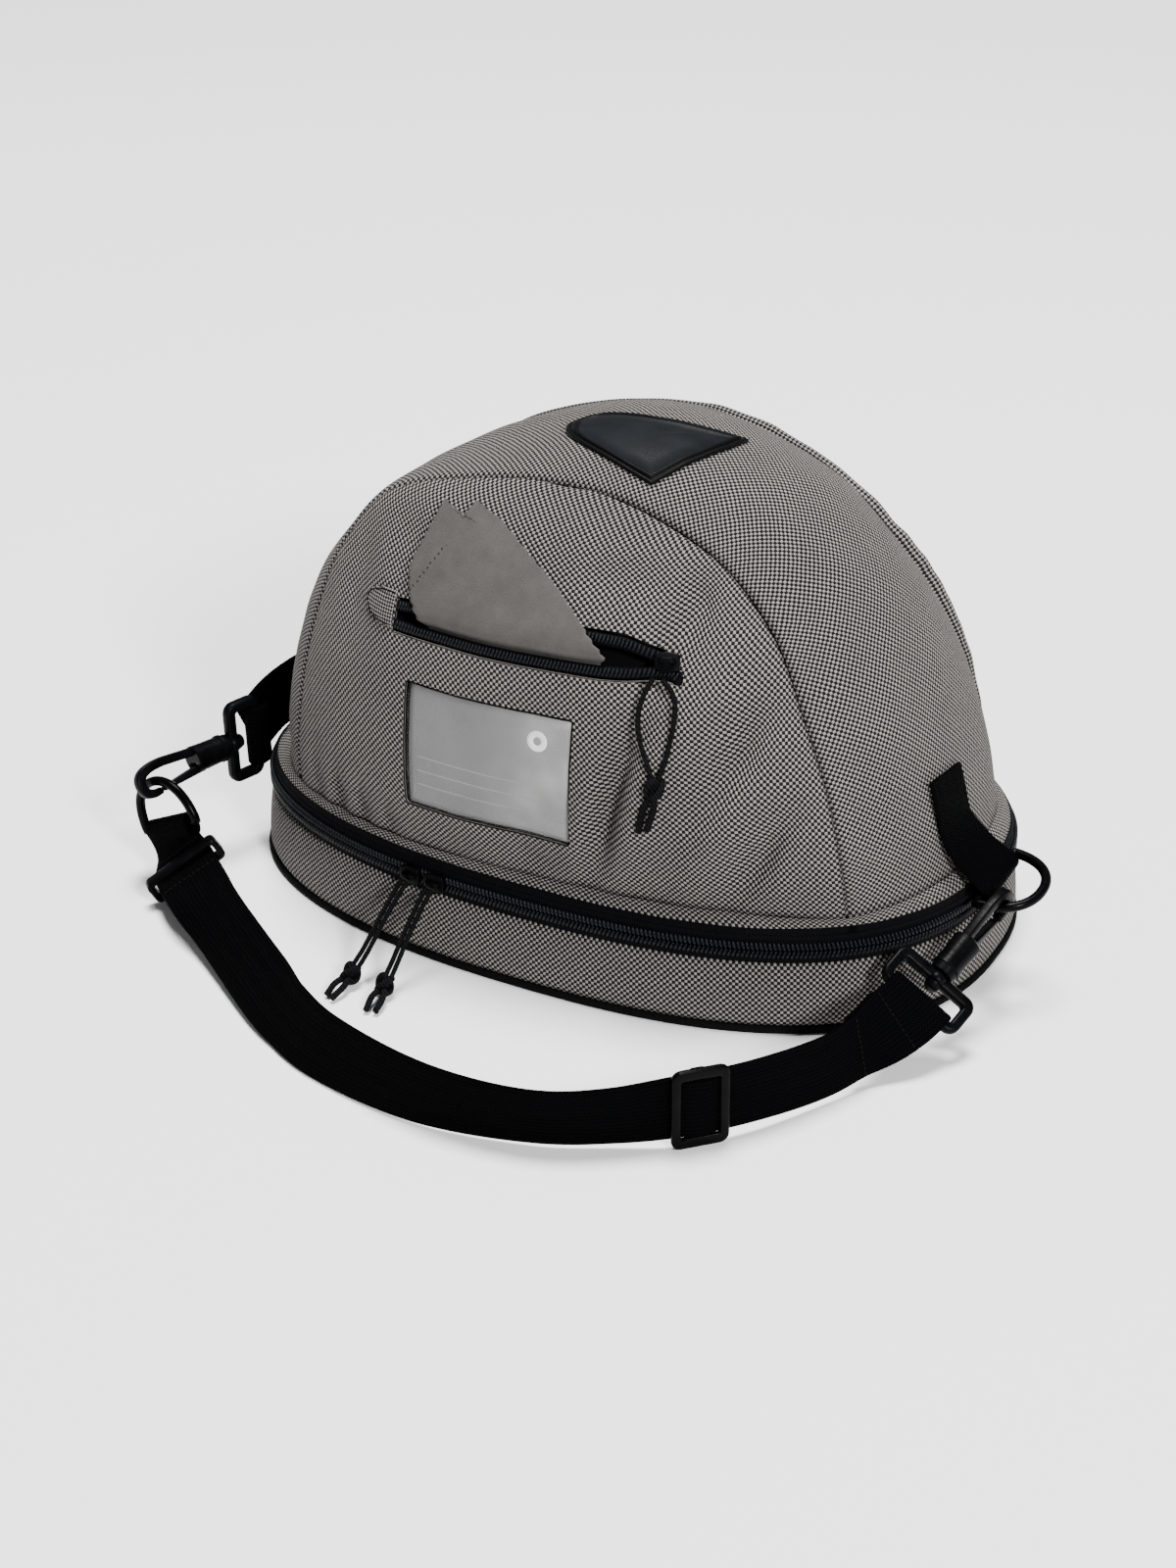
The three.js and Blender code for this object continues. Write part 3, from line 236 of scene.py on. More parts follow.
def grain(tree, size, detail=2.0, uv=None):
    """Grain whose spots are about a size in millimetres across, over the object or its cloth."""
    node = tree.nodes.new("ShaderNodeGroup")
    node.node_tree = soft_grain
    node.inputs["Scale"].default_value = 1 / (size * MM)
    node.inputs["Detail"].default_value = detail
    place = uv or tree.nodes.new("ShaderNodeTexCoord").outputs["Object"]
    tree.links.new(place, node.inputs["Place"])
    return node.outputs["Value"]


def cloth_place(tree):
    """The place on the cloth, in metres: the vector, and its two lengths."""
    node = tree.nodes.new("ShaderNodeUVMap")
    node.uv_map = "cloth"
    split = tree.nodes.new("ShaderNodeSeparateXYZ")
    tree.links.new(node.outputs[0], split.inputs[0])
    return node.outputs[0], split.outputs[0], split.outputs[1]


def new_material(name, roughness, **sockets):
    """A material with its node tree and shader; a socket's name has underscores for its spaces."""
    material = bpy.data.materials.new(name)
    material.use_nodes = True
    shader = material.node_tree.nodes["Principled BSDF"]
    shader.inputs["Roughness"].default_value = roughness
    for key, value in sockets.items():
        shader.inputs[key.replace("_", " ")].default_value = value
    return material, material.node_tree, shader


def speckled(name, roughness, size, detail, dark, light, **sockets):
    """A material whose colour wanders between two in spots of a size in millimetres."""
    material, tree, shader = new_material(name, roughness, **sockets)
    fine = grain(tree, size, detail)
    tree.links.new(blend(tree, fine, dark, light), shader.inputs["Base Color"])
    return material, tree, shader, fine


def bump(tree, shader, height, depth):
    """Relief with a depth in millimetres."""
    node = tree.nodes.new("ShaderNodeBump")
    node.inputs["Distance"].default_value = depth * MM
    tree.links.new(height, node.inputs["Height"])
    tree.links.new(node.outputs[0], shader.inputs["Normal"])


def weave_group():
    """Plain weave of a pale and a black yarn: where the pale yarn is on top, and the height."""
    group = bpy.data.node_groups.new("two_tone_weave", "ShaderNodeTree")
    for socket in ("Pale", "Height"):
        group.interface.new_socket(socket, in_out="OUTPUT", socket_type="NodeSocketFloat")
    uv, along, up = cloth_place(group)
    waver = calc(group, "MULTIPLY", calc(group, "SUBTRACT", grain(group, 4, 1, uv), 0.5), 1.1)
    turn = 2 * math.pi / (WEAVE * MM)
    warp = calc(group, "COSINE", calc(group, "ADD", calc(group, "MULTIPLY", along, turn), waver))
    weft = calc(group, "COSINE", calc(group, "SUBTRACT", calc(group, "MULTIPLY", up, turn), waver))
    float_ = calc(group, "MULTIPLY", warp, weft)
    end = group.nodes.new("NodeGroupOutput")
    group.links.new(between(group, float_, -0.12, 0.32), end.inputs[0])
    group.links.new(calc(group, "POWER", calc(group, "ABSOLUTE", float_), 0.6), end.inputs[1])
    return group


def two_tone_cloth():
    material, tree, shader = new_material("two_tone_cloth", 0.9, Specular_IOR_Level=0.1)
    weave = tree.nodes.new("ShaderNodeGroup")
    weave.node_tree = weave_group()
    uv = cloth_place(tree)[0]
    pale = blend(tree, grain(tree, 1.2, 1, uv), (0.163, 0.15, 0.138), (0.278, 0.257, 0.237))
    yarn = blend(tree, weave.outputs["Pale"], (0.0045, 0.0044, 0.0047), pale)
    # Slow random blotches, up to a tenth darker.
    slow_blotches = between(tree, grain(tree, 45, 3), 0.35, 0.75)
    # Painted shade: along the seams and the panels' feet the cloth's colour darkens to about a third, where
    # the creases are shaded.
    seam = tree.nodes.new("ShaderNodeAttribute")
    seam.attribute_name = "seam"
    blotchy_tone = blend(tree, slow_blotches, (1, 1, 1), (0.9, 0.9, 0.91))
    shade = blend(tree, seam.outputs["Fac"], blotchy_tone, (0.35, 0.35, 0.35))
    mixed = tree.nodes.new("ShaderNodeMix")
    mixed.data_type = "RGBA"
    mixed.blend_type = "MULTIPLY"
    mixed.inputs[0].default_value = 1
    tree.links.new(yarn, mixed.inputs[6])
    tree.links.new(shade, mixed.inputs[7])
    tree.links.new(mixed.outputs[2], shader.inputs["Base Color"])
    bump(tree, shader, weave.outputs["Height"], 0.35)
    return material


cloth = two_tone_cloth()
ROUND = 300  # columns round the oval
oval_angles, oval_length = evenly(lambda a: outline(a, 0, 0), 0, 2 * math.pi, ROUND)
oval_along = [round(oval_length / WEAVE) * WEAVE * i / ROUND for i in range(ROUND + 1)]
WALL_FOOT = 4.1
WALL_ROWS = 12
TUCK, TUCK_SHARE = 0.9, 0.05  # how far both edges are drawn in by their seams, and over what share
BELLY = 0.5
wall_rows, wall_uvs = [], []
for i in range(WALL_ROWS + 1):
    share = i / WALL_ROWS
    z = WALL_FOOT + (BASE_TOP - WALL_FOOT) * share
    tucked = TUCK * (math.exp(-(share / TUCK_SHARE) ** 2) + math.exp(-((1 - share) / TUCK_SHARE) ** 2))
    inset = -FLARE * (1 - share) + tucked - BELLY * math.sin(math.pi * share)
    wall_rows.append([outline(a, inset, z) for a in oval_angles[:-1]])
    wall_uvs.append([(u, z) for u in oval_along])
base_wall = grid_piece("wall_of_base", wall_rows, wall_uvs, ring=True)
thicken(base_wall, WALL - 0.3)
settle(base_wall, cloth, ["base_wall"])

# Piping and bottom. Black cloth over a cord, sewn between the wall and the stiffened bottom panel,
# which is what the bag stands on.
PIPING = 1.9
PIPING_INSET = -1.5
FLOOR_PANEL = 3.0


def tube_curve(name, points, radius, closed=False, steps=4):
    """A round curve through points in millimetres."""
    data = bpy.data.curves.new(name, "CURVE")
    data.dimensions = "3D"
    data.bevel_depth = radius * MM
    data.bevel_resolution = steps
    data.use_fill_caps = True
    line = data.splines.new("POLY")
    line.points.add(len(points) - 1)
    for spot, p in zip(line.points, points):
        spot.co = (*(p * MM), 1)
    line.use_cyclic_u = closed
    line.use_smooth = True
    piece = bpy.data.objects.new(name, data)
    bpy.context.collection.objects.link(piece)
    return piece


def to_mesh(piece):
    """Turns a curve into a closed mesh."""
    only(piece)
    bpy.ops.object.convert(target="MESH")
    return clean(bpy.context.view_layer.objects.active, 0.005)


fabric, fabric_tree, fabric_shader, lint = speckled(
    "black_fabric", 0.9, 0.9, 3, (0.001, 0.001, 0.0012), (0.004, 0.004, 0.0045), Specular_IOR_Level=0.04)
bump(fabric_tree, fabric_shader, lint, 0.3)
piping_line = [outline(a, PIPING_INSET, PIPING + 0.1) for a in oval_angles[:-1]]
piping = to_mesh(tube_curve("piping", piping_line, PIPING, closed=True))
settle(piping, fabric, ["base_piping"])

# Inset and height of each row from the underside round the rounded edge to the upper side
BOTTOM = ((8, 0.0), (1.4, 0.0), (0.7, 0.5), (0.7, FLOOR_PANEL - 0.5), (1.4, FLOOR_PANEL), (8, FLOOR_PANEL))
bottom_points = [outline(a, inset, z) for inset, z in BOTTOM for a in oval_angles[:-1]]
bottom_top = (len(BOTTOM) - 1) * ROUND
bottom_faces = [tuple(range(ROUND)), tuple(range(bottom_top, bottom_top + ROUND)), *cells(len(BOTTOM), ROUND)]
bottom = smooth_to(clean(mesh_piece("bottom", bottom_points, bottom_faces)), 50)
settle(bottom, fabric, ["bottom_panel"])

# Main zip. Two black tapes with a nylon coil along their meeting edges, sewn to the wall and the hem.
# A plain strip of cloth at the rear is the lid's hinge.
ZIP_MIDDLE = (BASE_TOP + ZIP_TOP) / 2
HINGE_HALF = 65
HINGE = math.acos(HINGE_HALF / OVAL[0])
ZIP_END = 0.003  # angle left free at each end of the tapes
COIL_PITCH = 1.9
zip_angles, zip_length = evenly(lambda a: outline(a, 0, 0), math.pi - HINGE + ZIP_END,
                                2 * math.pi + HINGE - ZIP_END, 260)


def zip_tape():
    material, tree, shader, fine = speckled(
        "zip_tape", 0.85, 0.8, 2, (0.001, 0.001, 0.0014), (0.003, 0.003, 0.004), Specular_IOR_Level=0.04)
    along = cloth_place(tree)[1]
    rib = calc(tree, "SINE", calc(tree, "MULTIPLY", along, 2 * math.pi / (1.1 * MM)))
    bump(tree, shader, calc(tree, "ADD", rib, fine), 0.12)
    return material


def zip_coil():
    material, tree, shader, fine = speckled(
        "zip_coil", 0.38, 2.5, 2, (0.0015, 0.0017, 0.0028), (0.004, 0.0044, 0.0066), Specular_IOR_Level=0.12)
    tree.links.new(between(tree, fine, 0.3, 0.7, 0.3, 0.5), shader.inputs["Roughness"])
    return material


def strip_between(name, angles, length, profile):
    """A strip of tape along the oval; the profile gives the inset and the height of its rows."""
    rows = [[outline(a, inset, z) for a in angles] for inset, z in profile]
    uvs = [[(length * i / (len(angles) - 1), z) for i in range(len(angles))] for _, z in profile]
    return thicken(grid_piece(name, rows, uvs), 1.0)


def small_tubes(name, tubes):
    """Many short closed tubes in one mesh, each given as rings of points."""
    points, faces = [], []
    for rings in tubes:
        start, sides = len(points), len(rings[0])
        last = start + (len(rings) - 1) * sides
        points.extend(p for ring in rings for p in ring)
        faces.extend(cells(len(rings), sides, start=start))
        faces.append(tuple(range(start, start + sides)))
        faces.append(tuple(range(last, last + sides)))
    return clean(mesh_piece(name, points, faces), 0.0005)


def coil_ribs(name, stops, width, height, slant):
    """A row of coil turns: each stop is a place, and directions along the coil, across it and out."""
    section = [(math.cos(math.radians(60 * k + 30)), math.sin(math.radians(60 * k + 30))) for k in range(6)]
    tubes = []
    for place, along, across, out in stops:
        rings = []
        for reach, size in ((-0.5, 0.25), (-0.38, 0.9), (0, 1.0), (0.38, 0.9), (0.5, 0.25)):
            centre = place + across * (reach * height) + along * (reach * slant)
            rings.append([centre + along * (c * size * width / 2) + out * (s * size * width * 0.55)
                          for c, s in section])
        tubes.append(rings)
    return small_tubes(name, tubes)


tape_stuff, coil_stuff = zip_tape(), zip_coil()
for name, node, profile in (
    ("tape_lower", "zip_lower", ((0.5, 33.2), (0.4, 35), (0.2, 37), (0.5, 39.35))),
    ("tape_upper", "zip_upper", ((0.5, 39.65), (0.2, 42), (0.4, 44.2), (0.5, 46))),
):
    settle(strip_between(name, zip_angles, zip_length, profile), tape_stuff, [node])

coil_places = evenly(lambda a: outline(a, 0, 0), zip_angles[0] + 0.004, zip_angles[-1] - 0.004,
                     int(zip_length / COIL_PITCH))[0]
for name, z, slant in (("coil_lower", 37.6, 1.1), ("coil_upper", 41.4, -1.1)):
    stops = []
    for a in coil_places:
        along = (outline(a + 0.01, 0, 0) - outline(a - 0.01, 0, 0)).normalized()
        stops.append((outline(a, -0.35, z), along, UP, along.cross(UP)))
    settle(coil_ribs(name, stops, 1.7, 3.5, slant), coil_stuff)

hinge_angles, hinge_length = evenly(lambda a: outline(a, 0, 0), HINGE + ZIP_END,
                                    math.pi - HINGE - ZIP_END, 60)
hinge = strip_between("hinge", hinge_angles, hinge_length,
                      ((0.6, 33.2), (0.1, 34.2), (0, 39.5), (0.1, 45), (0.6, 46)))
settle(hinge, cloth, ["hinge_strip"])

# Dome. A front panel, a top band and a rear panel of the same cloth on a soft backing, seamed together;
# the hem below is a sloping ledge of folded cloth between the dome and the zip.
REAR_FLAT = 0.18  # share by which the band's rear half rises less
# Columns: place of the front seam in x and z, half widths to the front and rear seams, rise of the
# band's middle, and how far the rear seam sinks.
ARCH = [
    (139, 53, 82, 78, 29, 0),
    (136, 76, 83, 79, 26, 0),
    (126, 106, 77, 77, 26, 0),
    (111, 136, 70, 70, 28, 0),
    (93, 165, 61, 61, 27, 1),
    (66, 191, 57, 57, 23, 1),
    (29, 207, 55, 55, 18, 1),
    (-5, 212, 55, 55, 13, 1),
    (-46, 208, 54, 54, 7, 3),
    (-90, 196, 57, 54, 3, 9),
    (-111, 170, 63, 58, 10, 9),
    (-122, 141, 67, 64, 20, 5),
    (-129, 108, 71, 70, 26, 2),
    (-132, 75, 74, 74, 28, 0),
    (-132, 53, 74, 74, 29, 0),
]
# How far out the middle of the front and rear panels is, from the hem up to the top seam
PANEL = [(107,), (113,), (114,), (109,), (97,), (79,), (62,), (55,)]
# Dents of the front panel: middle, half sizes, depth (negative where it swells) and lean
FOLDS = [
    (42, 98, 6, 30, 10, 0.23),
    (55, 100, 9, 34, -4, 0.23),
    (31, 96, 5, 26, -2, 0.23),
    (62, 172, 9, 22, 8, 0.3),
    (78, 142, 9, 26, -4, 0.4),
    (95, 127, 8, 26, 8, 0.45),
    (87, 88, 9, 22, -3, 0.45),
    (105, 80, 8, 20, 7, 0.5),
    (-116, 66, 5, 14, 5, 0),
    (-101, 64, 5, 13, 5, 0),
    (-86, 63, 5, 11, 4, 0),
    (-70, 61, 5, 8, 3, 0),
    (-95, 168, 10, 22, 5.5, 0),
    (34, 182, 20, 9, 4, 0),
    (2, 63, 10, 7, 2.5, 0),
    (-70, 186, 12, 9, 3, 0),
]


def column(rows, k, t):
    """Column k of a table, smoothly between its rows, at t from 0 to 1."""
    last = len(rows) - 1
    place = min(max(t, 0), 1) * last
    row = min(int(place), last - 1)
    a, b, c, d = (rows[min(max(row + n, 0), last)][k] for n in (-1, 0, 1, 2))
    t = place - row
    return b + 0.5 * t * (c - a + t * (2 * a - 5 * b + 4 * c - d + t * (3 * (b - c) + d - a)))


def bulge(place):
    """The rise of a panel between its seams, at places from -1 to 1: 1 in the middle and 0 at both."""
    edge = 0.77  # share of an oval's half width that the panel spans

    def oval(t):
        return max(0, 1 - abs(t) ** OVAL_POWER) ** (1 / OVAL_POWER)

    return (oval(edge * place) - oval(edge)) / (1 - oval(edge))


def band_point(t, v):
    """A point of the top band: t from its +X end to its -X end, v from the front seam to the rear one."""
    step = 0.004
    dx = column(ARCH, 0, t + step) - column(ARCH, 0, t - step)
    dz = column(ARCH, 1, t + step) - column(ARCH, 1, t - step)
    size = math.hypot(dx, dz)
    rear = (v + 1) / 2
    rise = column(ARCH, 4, t) * bulge(v) * (1 - REAR_FLAT * max(0, v)) - column(ARCH, 5, t) * rear
    front = -column(ARCH, 2, t)
    y = front + (column(ARCH, 3, t) - front) * rear
    return Vector((column(ARCH, 0, t) + dz / size * rise, y, column(ARCH, 1, t) - dx / size * rise))


def side_row(side, row, shares, folds=FOLDS):
    """Points across the front panel (side -1) or the rear one (side 1), at a row from 0 to 1."""
    left, right = band_point(1 - row / 2, side), band_point(row / 2, side)
    middle = column(PANEL, 0, row)
    points = []
    for h in shares:
        p = left.lerp(right, (h + 1) / 2)
        seam = abs(p.y)
        p.y = side * (seam + max(middle - seam, 0) * bulge(h))
        if side < 0:
            fade = min(1, 5 * (1 - abs(h))) * min(1, 4 * (1 - row))
            for x, z, wide, tall, deep, lean in folds:
                off = p.x - x - lean * (p.z - z)
                p.y += deep * fade * math.exp(-((off / wide) ** 2) - ((p.z - z) / tall) ** 2)
        points.append(p)
    return points


def edge_fine(count):
    """Shares from -1 to 1 that crowd toward both ends, where the seams are."""
    wide = 0.45 * math.pi
    return [math.sin(wide * (-1 + 2 * j / count)) / math.sin(wide) for j in range(count + 1)]


SEAM_DEEP, SEAM_WIDE = 1.5, 1.7  # how far the cloth sinks at a seam, and over what distance
# The seam mark is painted shade: the cloth's colour darkens along each seam and along each panel's foot,
# where the crease is shaded.
SEAM_SHADE, FOOT_SHADE = 1.0, 1.6  # reach of the dark line at a seam and at the foot
CALM = 14  # distance from a seam over which the waves die out


def soften(piece, seam_distance, foot_distance):
    """Sinks the cloth along its seams and marks them with painted shade, with slow waves and small creases
    between them.
    """
    painted_seam_shade = piece.data.attributes.new("seam", "FLOAT", "POINT")
    moves = []
    for vertex, spot, distance, foot in zip(piece.data.vertices, painted_seam_shade.data, seam_distance, foot_distance):
        place = vertex.co / MM
        spot.value = max(math.exp(-(distance / SEAM_SHADE) ** 2), 0.8 * math.exp(-(foot / FOOT_SHADE) ** 2))
        calm = 1 - math.exp(-(distance / CALM) ** 2)
        wave = noise.noise(place / 34) + noise.noise(place / 12) * 0.3
        sunk = SEAM_DEEP * math.exp(-(distance / SEAM_WIDE) ** 2)
        moves.append(vertex.normal * ((wave * calm - sunk) * MM))
    for vertex, move in zip(piece.data.vertices, moves):
        vertex.co += move


def sewn_panel(name, grid, flat, two_feet):
    """A panel through rows of points. Its weave is measured on the unfolded rows; its foot is its first
    row, and its last row is a seam, or a second foot."""
    middle = len(flat[0]) // 2
    heights = lengths([row[middle] for row in flat])
    uvs, seams, feet = [], [], []
    for height, row in zip(heights, flat):
        walked = lengths(row)
        top = heights[-1] - height
        uvs.append([(w - walked[middle], height) for w in walked])
        seams.extend(min(w, walked[-1] - w, math.inf if two_feet else top) for w in walked)
        feet.extend([min(height, top) if two_feet else height] * len(row))
    piece = grid_piece(name, grid, uvs)
    soften(piece, seams, feet)
    return piece


def side_panel(name, side, rows, columns):
    """The front panel (side -1) or the rear one (side 1)."""
    shares = edge_fine(columns)
    grid, flat = ([side_row(side, i / rows, shares, folds) for i in range(rows + 1)] for folds in (FOLDS, ()))
    return sewn_panel(name, grid, flat, False)


front = side_panel("panel_front", -1, 110, 150)
rear = side_panel("panel_rear", 1, 80, 110)
BAND_ROWS, BAND_COLUMNS = 190, 64
band_grid = [[band_point(i / BAND_ROWS, v) for v in edge_fine(BAND_COLUMNS)] for i in range(BAND_ROWS + 1)]
band = sewn_panel("band_top", band_grid, band_grid, True)

# The rear panel's cloth stands up along its seam as a rolled ridge
ROLL, ROLL_STEPS, ROLL_ROUND = 0.7, 220, 16
ROLL_START, ROLL_END = 0.02, 0.98
ROLL_SWELLS = ((1.9, 0.43, 0.06), (5.0, 0.25, 0.13))  # size, place along the seam and half length
roll_places = [ROLL_START + 0.96 * i / ROLL_STEPS for i in range(ROLL_STEPS + 1)]
roll_walked = lengths([band_point(t, 1) for t in roll_places])
roll_rows, roll_uvs = [], []
for t, walked in zip(roll_places, roll_walked):
    ahead = band_point(t + 0.004, 1) - band_point(t - 0.004, 1)
    out, behind = Vector((ahead.z, 0, -ahead.x)).normalized(), Vector((0, 1, 0))
    taper = math.sqrt(max(0, min(1, 16 * min(t - ROLL_START, ROLL_END - t))))
    swell = sum((size * math.exp(-((t - place) / wide) ** 2) for size, place, wide in ROLL_SWELLS), ROLL)
    swell *= taper * (1 + 0.15 * noise.noise(Vector((t * 40, 0, 3))))
    centre = band_point(t, 1) + out * (0.4 * swell) + behind * (0.4 * swell)
    turns = [2 * math.pi * k / ROLL_ROUND for k in range(ROLL_ROUND + 1)]
    roll_rows.append([centre + (out * math.cos(a) + behind * math.sin(a)) * swell for a in turns[:-1]])
    roll_uvs.append([((walked + 4 * a) * 0.7071, (walked - 4 * a) * 0.7071) for a in turns])
rear_roll = clean(grid_piece("rear_roll", roll_rows, roll_uvs, ring=True), 0.005)
settle(rear_roll, cloth)


def surface_tree(piece):
    """A panel's faces, ready to be met by a line."""
    points = [v.co / MM for v in piece.data.vertices]
    return BVHTree.FromPolygons(points, [tuple(f.vertices) for f in piece.data.polygons])


front_tree, band_tree = surface_tree(front), surface_tree(band)


def lifted(hit, a, b, lift):
    """The point that hit finds on a panel over two lengths, lifted off the face there."""
    reach = 2.5
    middle = hit(a, b)
    right, left = hit(a + reach, b) or middle, hit(a - reach, b) or middle
    high, low = hit(a, b + reach) or middle, hit(a, b - reach) or middle
    return middle + (right - left).cross(high - low).normalized() * lift


def panel_at(x, z, lift=0.0):
    """The point of the front panel over x and z, lifted off its face."""
    inward = Vector((0, 1, 0))
    return lifted(lambda px, pz: front_tree.ray_cast(Vector((px, -300, pz)), inward)[0], x, z, lift)


def band_at(x, y, lift):
    """The point of the top band over x and y, lifted off its face."""
    return lifted(lambda px, py: band_tree.ray_cast(Vector((px, py, 400)), -UP)[0], x, y, lift)


WINDOW = (-57.0, 25.0, 74.0, 132.0)  # left, right, low, high
POCKET = (-67.0, 66.0, 149.0)  # left, right, low
MOUTH = [(-67, 163), (-40, 167), (10, 168), (42, 167), (66, 163)]  # upper edge of the pocket's mouth


def rounded(x0, x1, y0, y1, r):
    """A rectangle with round corners as a loop of points."""
    steps = 5
    corners = ((x1 - r, y0 + r, -90), (x1 - r, y1 - r, 0), (x0 + r, y1 - r, 90), (x0 + r, y0 + r, 180))
    loop = []
    for cx, cy, start in corners:
        for k in range(steps + 1):
            a = math.radians(start + 90 * k / steps)
            loop.append((cx + r * math.cos(a), cy + r * math.sin(a)))
    return loop


MOUTH_DROP, MOUTH_TURN = 11, 38  # the upper edge comes down by this much, from this x to the slider


def mouth_edge(x):
    """Height of the mouth's upper edge, which comes down to the slider at the right."""
    t = (x - MOUTH[0][0]) / (MOUTH[-1][0] - MOUTH[0][0])
    spots = [(a[0] - MOUTH[0][0]) / (MOUTH[-1][0] - MOUTH[0][0]) for a in MOUTH]
    k = max(n for n in range(len(MOUTH) - 1) if spots[n] <= t + 1e-9)
    local = (t - spots[k]) / (spots[k + 1] - spots[k])
    drop = MOUTH_DROP * max(0, (x - MOUTH_TURN) / (MOUTH[-1][0] - MOUTH_TURN)) ** 1.8
    return column(MOUTH, 1, (k + local) / (len(MOUTH) - 1)) - drop


def cut_panel(piece, loop):
    """Cuts an opening over a loop of x and z through a panel."""
    count = len(loop)
    near, far = -135, -55
    points = [Vector((x, y, z)) for y in (near, far) for x, z in loop]
    faces = [tuple(range(count)), tuple(range(count, 2 * count)), *cells(2, count)]
    cutter = clean(mesh_piece("cutter", points, faces))
    apply(piece, "BOOLEAN", operation="DIFFERENCE", object=cutter, solver="EXACT")
    bpy.data.objects.remove(cutter)


PANEL_THICK = WALL - 0.2
mouth_loop = [(POCKET[0], POCKET[2]), (POCKET[1], POCKET[2])]
mouth_loop += [(x, mouth_edge(x)) for x in [POCKET[1] - (POCKET[1] - POCKET[0]) * k / 48 for k in range(49)]]
thicken(clean(front, 0.05), PANEL_THICK)
cut_panel(front, rounded(*WINDOW, 2))
cut_panel(front, mouth_loop)
thicken(clean(rear, 0.05), PANEL_THICK)
thicken(band, PANEL_THICK)
for piece, node in ((front, "front_panel"), (band, "top_band"), (rear, "rear_panel")):
    settle(smooth_to(piece, 40), cloth, [node])


def rim_loop():
    """The dome's lower edge, from the front's +X seam over the -X end and the rear."""
    shares = [-1 + 2 * j / 90 for j in range(91)]
    ends = [-1 + 2 * j / 60 for j in range(61)]
    loop = list(reversed(side_row(-1, 0, shares)))[:-1]
    loop += [band_point(1, v) for v in ends][:-1]
    loop += side_row(1, 0, shares)[:-1]
    loop += list(reversed([band_point(0, v) for v in ends]))[:-1]
    return loop


rim = rim_loop()
rim_along = lengths([*rim, rim[0]])
rim_scale = round(rim_along[-1] / WEAVE) * WEAVE / rim_along[-1]
HEM_LOW, HEM_INSET, HEM_ROWS = ZIP_TOP + 0.2, 0.8, 8
HEM_THICK, HEM_PUFF, HEM_PUCKER = 1.6, 0.9, 0.35
HEM_TURN = 0.7  # how far its lower edge is turned in


def hem_edge(p):
    """The place on the ledge's lower edge that faces a point of the dome's edge."""
    x = p.x / OVAL[0]
    return outline(math.atan2(p.y / OVAL[1] / (1 + EGG * x), x), HEM_INSET, HEM_LOW)


def hem_point(p, share):
    """A place on the ledge below a point of the dome's edge: share 0 at the dome, 1 at the zip."""
    q = Vector((p.x, p.y, p.z - 0.25)).lerp(hem_edge(p), share)
    q.z += (HEM_PUFF + HEM_PUCKER * noise.noise(p / 18)) * math.sin(math.pi * share)
    return q


hem_rows = [[hem_point(p, i / HEM_ROWS) for p in rim] for i in range(HEM_ROWS + 1)]
hem_rows[-1] = [q + Vector((-q.x, -q.y, 0)).normalized() * HEM_TURN for q in hem_rows[-1]]
hem_uvs = [[(w * rim_scale, 9 - 11 * i / HEM_ROWS) for w in rim_along] for i in range(HEM_ROWS + 1)]
hem = grid_piece("hem_ledge", hem_rows, hem_uvs, ring=True)
thicken(hem, HEM_THICK)
settle(hem, cloth, ["hem"])

# The zip's upper tape folds over the ledge's edge, except along the hinge
# Columns: distance up the ledge from its lower edge, and lift
TAPE_FOLD = ((-0.3, -0.5), (0.0, 0.3), (0.8, 0.55), (1.6, 0.55), (2.2, 0.4), (2.5, -0.1))
in_hinge = [p.y > 0 and abs(hem_edge(p).x) < HINGE_HALF + 1 for p in rim]
first = next(k for k in range(len(rim)) if in_hinge[k - 1] and not in_hinge[k])
taped = [k % len(rim) for k in range(first, first + len(rim)) if not in_hinge[k % len(rim)]]
fold_rows, fold_uvs = [], []
for wide, lift in TAPE_FOLD:
    row = []
    for k in taped:
        share = 1 - wide / (hem_edge(rim[k]) - rim[k]).length
        row.append(hem_point(rim[k], share) + Vector((0, 0, lift)))
    fold_rows.append(row)
    fold_uvs.append([(rim_along[k], wide) for k in taped])
settle(thicken(grid_piece("tape_fold", fold_rows, fold_uvs), 0.4), tape_stuff)

# Card window. A clear vinyl pane sewn behind an opening in the front panel, with a plain ruled card
# and a paper ring behind it.
def on_panel(left, right, low, high, columns, rows, lift):
    """A grid over a rectangle of the front panel, with places on it in millimetres from its corner."""
    grid, uvs = [], []
    for i in range(rows + 1):
        z = low + (high - low) * i / rows
        xs = [left + (right - left) * j / columns for j in range(columns + 1)]
        grid.append([panel_at(x, z, lift(x, z)) for x in xs])
        uvs.append([(x - left, z - low) for x in xs])
    return grid, uvs


def card_paper():
    material, tree, shader = new_material("card_paper", 0.6)
    along, up = cloth_place(tree)[1:]
    ruling = 6.6 * MM
    row = calc(tree, "ABSOLUTE", calc(tree, "SUBTRACT", calc(tree, "MODULO", up, ruling), ruling / 2))
    ink = between(tree, row, 0.15 * MM, 0.35 * MM, 1, 0)
    for place, low, high, shown in ((up, 28, 28.5, (1, 0)), (up, 5, 5.5, (0, 1)),
                                    (along, 4, 4.5, (0, 1)), (along, 62, 64, (1, 0))):
        ink = calc(tree, "MULTIPLY", ink, between(tree, place, low * MM, high * MM, *shown))
    # Painted glare: the paper turns much lighter in soft patches toward its right end, standing in for the
    # glare of the vinyl pane in front of it.
    cloud = between(tree, grain(tree, 20, 1), 0.3, 0.7, 0.35, 1)
    painted_glare = calc(tree, "MULTIPLY", cloud, between(tree, along, 30 * MM, 80 * MM))
    paper = blend(tree, grain(tree, 14, 2), (0.126, 0.122, 0.123), (0.138, 0.134, 0.135))
    paper = blend(tree, painted_glare, paper, (0.36, 0.35, 0.345))
    tree.links.new(blend(tree, ink, paper, (0.22, 0.22, 0.22)), shader.inputs["Base Color"])
    return material


